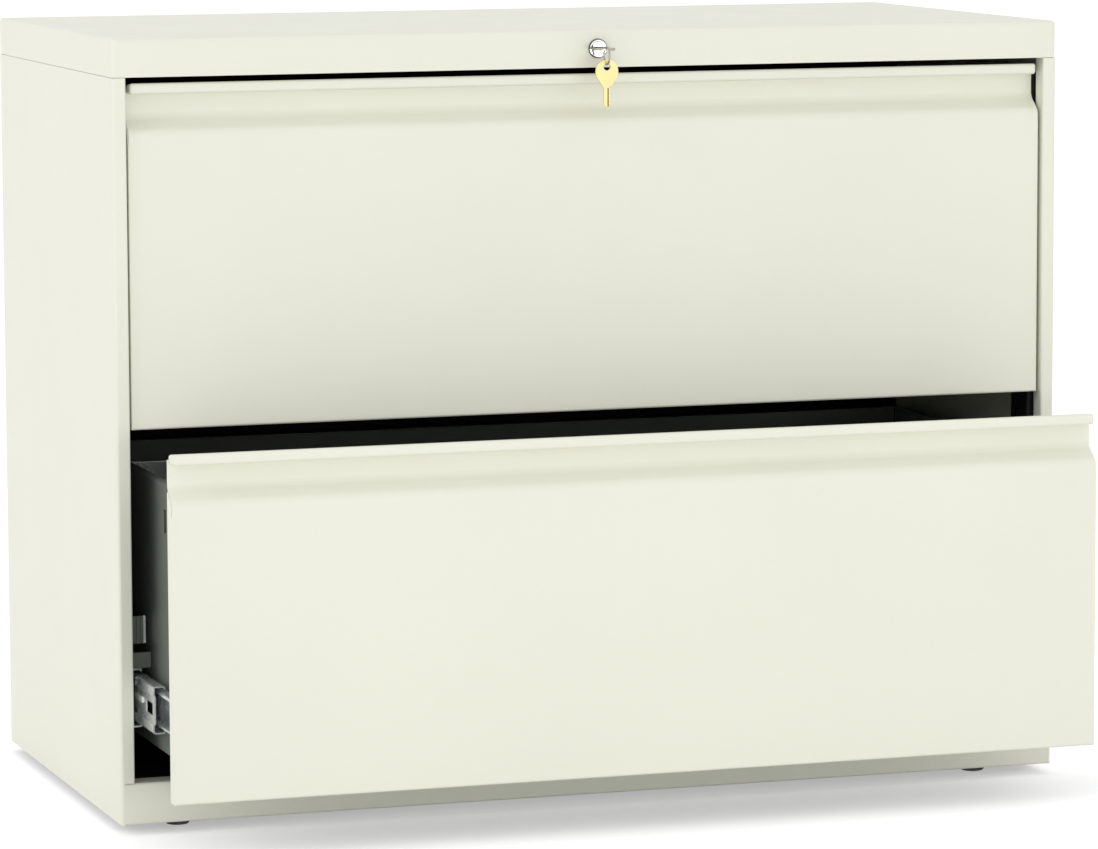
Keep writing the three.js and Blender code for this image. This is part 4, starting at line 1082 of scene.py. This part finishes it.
def key_outline(sizes, shoulder, width):
    """Outline of a key, bow centre at the origin and blade towards +Y, and its hole."""
    blade = width / 2.0
    tip = sizes.key_length - sizes.bow
    neck = math.atan2(blade, shoulder) + math.acos(sizes.bow / math.hypot(blade, shoulder))
    points = []
    for i in range(BOW_STEPS + 1):
        turn = math.pi / 2.0 + neck + (2.0 * math.pi - 2.0 * neck) * i / BOW_STEPS
        points.append((sizes.bow * math.cos(turn), sizes.bow * math.sin(turn)))
    points.append((blade, shoulder))
    for i in range(sizes.cuts):
        along = tip - sizes.key_tip - (sizes.cuts - i) * sizes.cut_pitch
        depth = sizes.shallow_cut if i % 2 else sizes.cut_depth
        points += [(blade, along), (blade - depth, along + sizes.cut_pitch / 2.0)]
    points += [(blade, tip - sizes.key_tip), (blade - sizes.key_tip, tip), (sizes.key_tip - blade, tip),
               (-blade, tip - sizes.key_tip), (-blade, shoulder)]
    return points, circle(sizes.hole, HOLE_STEPS, (0.0, sizes.rim + sizes.hole - sizes.bow))


def key_solid(sizes, shoulder, width, put):
    """A key as a bmesh; put places (across, along, thickness) in the frame."""
    outline, hole = key_outline(sizes, shoulder, width)
    half = sizes.key_thickness / 2.0
    past = 2.0 * half
    blank, drill = bmesh.new(), bmesh.new()
    loft(blank, [[put(a, b, t) for a, b in outline] for t in (-half, half)])
    loft(drill, [[put(a, b, t) for a, b in hole] for t in (-past, past)])
    left, right = (sizes.groove_side + turn * sizes.groove / 2.0 for turn in (-1.0, 1.0))
    end = 2.0 * (sizes.key_length - sizes.bow)
    groove = [(left, shoulder), (right, shoulder), (right, end), (left, end)]
    for bottom, top in ((half - sizes.groove_depth, past), (-past, sizes.groove_depth - half)):
        loft(drill, [[put(a, b, t) for a, b in groove] for t in (bottom, top)])
    return subtract(blank, drill)


class CABINET_OT_keys(CabinetBuild, bpy.types.Operator):
    """Key in the lock, its ring and the spare key"""
    bl_idname = "cabinet.keys"
    bl_label = "Keys"

    def build(self):
        """The key lies flat in the plug; the ring hangs through its bow and carries the spare key."""
        sizes = settings("lock")
        height = centre_of("key_in_lock", 2)
        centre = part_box("key_in_lock")[0].y + sizes.bow
        key = key_solid(sizes, sizes.lock_shoulder, sizes.blade, lambda a, b, t: (a, centre + b, height + t))
        shown(key, "lock_key", "key", "key_steel", ["key_in_lock"])
        lo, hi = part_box("key_ring")
        middle = (lo + hi) / 2.0
        bm = bmesh.new()
        radius = (hi.z - lo.z) / 2.0 - sizes.wire
        lathe(bm, circle(sizes.wire, WIRE_STEPS, (radius, 0.0)), "X", middle)
        shown(bm, "ring_wire", "ring", "key_steel", ["key_ring"])
        self.spare_key(sizes, middle.y, lo.z + 2.0 * sizes.wire + sizes.fit - sizes.bow + sizes.rim)

    def spare_key(self, sizes, y, drop):
        """The key on the ring, with a dark milled groove."""
        spare = key_solid(
            sizes, sizes.spare_shoulder, sizes.spare_blade, lambda a, b, t: (a, y + t, drop - b))
        piece = shown(spare, "spare_key", "ring", "key_brass")
        surface = sizes.key_thickness / 2.0 - sizes.groove_depth / 4.0

        def milled(middle):
            across = abs(middle.x - sizes.groove_side)
            inside = across <= sizes.groove / 2.0 + TOUCH and abs(middle.y - y) < surface
            return inside and drop - middle.z > sizes.bow

        two_toned(piece, "key_groove", milled)


class CABINET_OT_stage(CabinetBuild, bpy.types.Operator):
    """Floor, light and camera"""
    bl_idname = "cabinet.stage"
    bl_label = "Stage"

    def build(self):
        """A pale floor that shows white with its shadow, even light, two lamps and the photo's camera."""
        stage, tones = settings("stage"), settings("colours")
        self.floor(stage, tones)
        self.sky(stage.sky, opaque(tones.white))
        self.lamp("Side light", stage.side_place, stage.side_size, stage.side, stage.aim)
        self.lamp("Fill light", stage.fill_place, stage.fill_size, stage.fill, stage.aim)
        self.camera(stage)
        bpy.context.scene.view_settings.view_transform = "Standard"

    def floor(self, stage, tones):
        """A wide floor a hair below the glides."""
        bm = bmesh.new()
        for x, y in ((-1.0, -1.0), (1.0, -1.0), (1.0, 1.0), (-1.0, 1.0)):
            bm.verts.new((x * stage.floor_reach, y * stage.floor_reach, -stage.floor_drop))
        bm.faces.new(bm.verts)
        floor = placed("studio_floor", mesh_of(bm, "studio_floor"))
        material = bpy.data.materials.new("studio_floor")
        tree = empty_tree(material)
        diffuse = node(tree, "ShaderNodeBsdfDiffuse", 0, 0, Color=opaque(tones.floor))
        lift = ranged(tree, self.background_rays(tree), WHOLE, (0.0, stage.glow), -300, -200)
        light = node(tree, "ShaderNodeEmission", 0, -200, Color=opaque(tones.white), Strength=lift)
        both = node(tree, "ShaderNodeAddShader", 200, 0)
        feed(tree, both.inputs[0], diffuse.outputs["BSDF"])
        feed(tree, both.inputs[1], light.outputs["Emission"])
        node(tree, "ShaderNodeOutputMaterial", 400, 0, Surface=both.outputs["Shader"])
        floor.data.materials.append(material)

    def background_rays(self, tree):
        """1 for the rays that show the background: straight ahead, in gloss and through glass."""
        path = node(tree, "ShaderNodeLightPath", -900, 200).outputs
        either = path["Is Camera Ray"]
        for x, ray in ((-700, "Is Glossy Ray"), (-520, "Is Transmission Ray")):
            most = node(tree, "ShaderNodeMath", x, 200)
            most.operation = "MAXIMUM"
            feed(tree, most.inputs[0], either)
            feed(tree, most.inputs[1], path[ray])
            either = most.outputs["Value"]
        return either

    def sky(self, strength, white):
        """Even light, seen as plain white where it is the background."""
        world = bpy.data.worlds.new("studio_sky")
        bpy.context.scene.world = world
        tree = empty_tree(world)
        level = ranged(tree, self.background_rays(tree), WHOLE, (strength, 1.0), -300, 200)
        light = node(tree, "ShaderNodeBackground", 0, 0, Color=white, Strength=level)
        node(tree, "ShaderNodeOutputWorld", 300, 0, Surface=light.outputs["Background"])

    def lamp(self, name, place, size, watts, aim):
        """A large soft lamp."""
        data = bpy.data.lights.new(name, "AREA")
        data.shape = "RECTANGLE"
        data.size, data.size_y = size
        data.energy = watts
        turn = (Vector(aim) - Vector(place)).to_track_quat("-Z", "Y").to_matrix().to_4x4()
        placed(name, data).matrix_world = Matrix.Translation(place) @ turn

    def camera(self, stage):
        """The camera that was fitted to the photo."""
        data = bpy.data.cameras.new("Camera")
        data.sensor_fit = "HORIZONTAL"
        data.sensor_width = stage.sensor
        data.lens = stage.lens
        data.clip_end = stage.sight
        yaw, pitch, roll = stage.yaw, stage.pitch, stage.roll
        ahead = Vector((math.sin(yaw) * math.cos(pitch), math.cos(yaw) * math.cos(pitch), -math.sin(pitch)))
        across = Vector((math.cos(yaw), -math.sin(yaw), 0.0))
        above = across.cross(ahead)
        right = math.cos(roll) * across + math.sin(roll) * above
        up = math.cos(roll) * above - math.sin(roll) * across
        turn = Matrix((right, up, -ahead)).transposed().to_4x4()
        camera = placed("Camera", data)
        camera.matrix_world = Matrix.Translation(stage.place) @ turn
        bpy.context.scene.camera = camera


OPERATORS = (
    CABINET_OT_side_panels,
    CABINET_OT_top_cap,
    CABINET_OT_base_rail,
    CABINET_OT_back_panel,
    CABINET_OT_inner_case,
    CABINET_OT_drawer_heads,
    CABINET_OT_drawer_bodies,
    CABINET_OT_slides,
    CABINET_OT_ball_rows,
    CABINET_OT_fasteners,
    CABINET_OT_glides,
    CABINET_OT_lock,
    CABINET_OT_keys,
    CABINET_OT_stage,
)

GROUPS = {
    "cabinet_case": CabinetCaseSizes,
    "cabinet_drawer": CabinetDrawerSizes,
    "cabinet_slide": CabinetSlideSizes,
    "cabinet_lock": CabinetLockSizes,
    "cabinet_colours": CabinetColours,
    "cabinet_stage": CabinetStageSettings,
}


class CABINET_PT_panel(bpy.types.Panel):
    """Sidebar panel with the cabinet's operators"""
    bl_idname = "CABINET_PT_panel"
    bl_label = "Lateral filing cabinet"
    bl_space_type = "VIEW_3D"
    bl_region_type = "UI"
    bl_category = "Cabinet"

    def draw(self, context):
        """One button for each operator."""
        for operator in OPERATORS:
            self.layout.operator(operator.bl_idname)


def register():
    """Registers the settings, operators and panel."""
    for name, group in GROUPS.items():
        bpy.utils.register_class(group)
        setattr(bpy.types.Scene, name, PointerProperty(type=group))
    for cls in OPERATORS + (CABINET_PT_panel,):
        bpy.utils.register_class(cls)


def unregister():
    """Takes them out again."""
    for cls in (CABINET_PT_panel,) + OPERATORS[::-1]:
        bpy.utils.unregister_class(cls)
    for name, group in GROUPS.items():
        delattr(bpy.types.Scene, name)
        bpy.utils.unregister_class(group)


def main():
    """Builds the cabinet."""
    register()
    for operator in OPERATORS:
        family, name = operator.bl_idname.split(".")
        getattr(getattr(bpy.ops, family), name)()


if __name__ == "__main__":
    main()
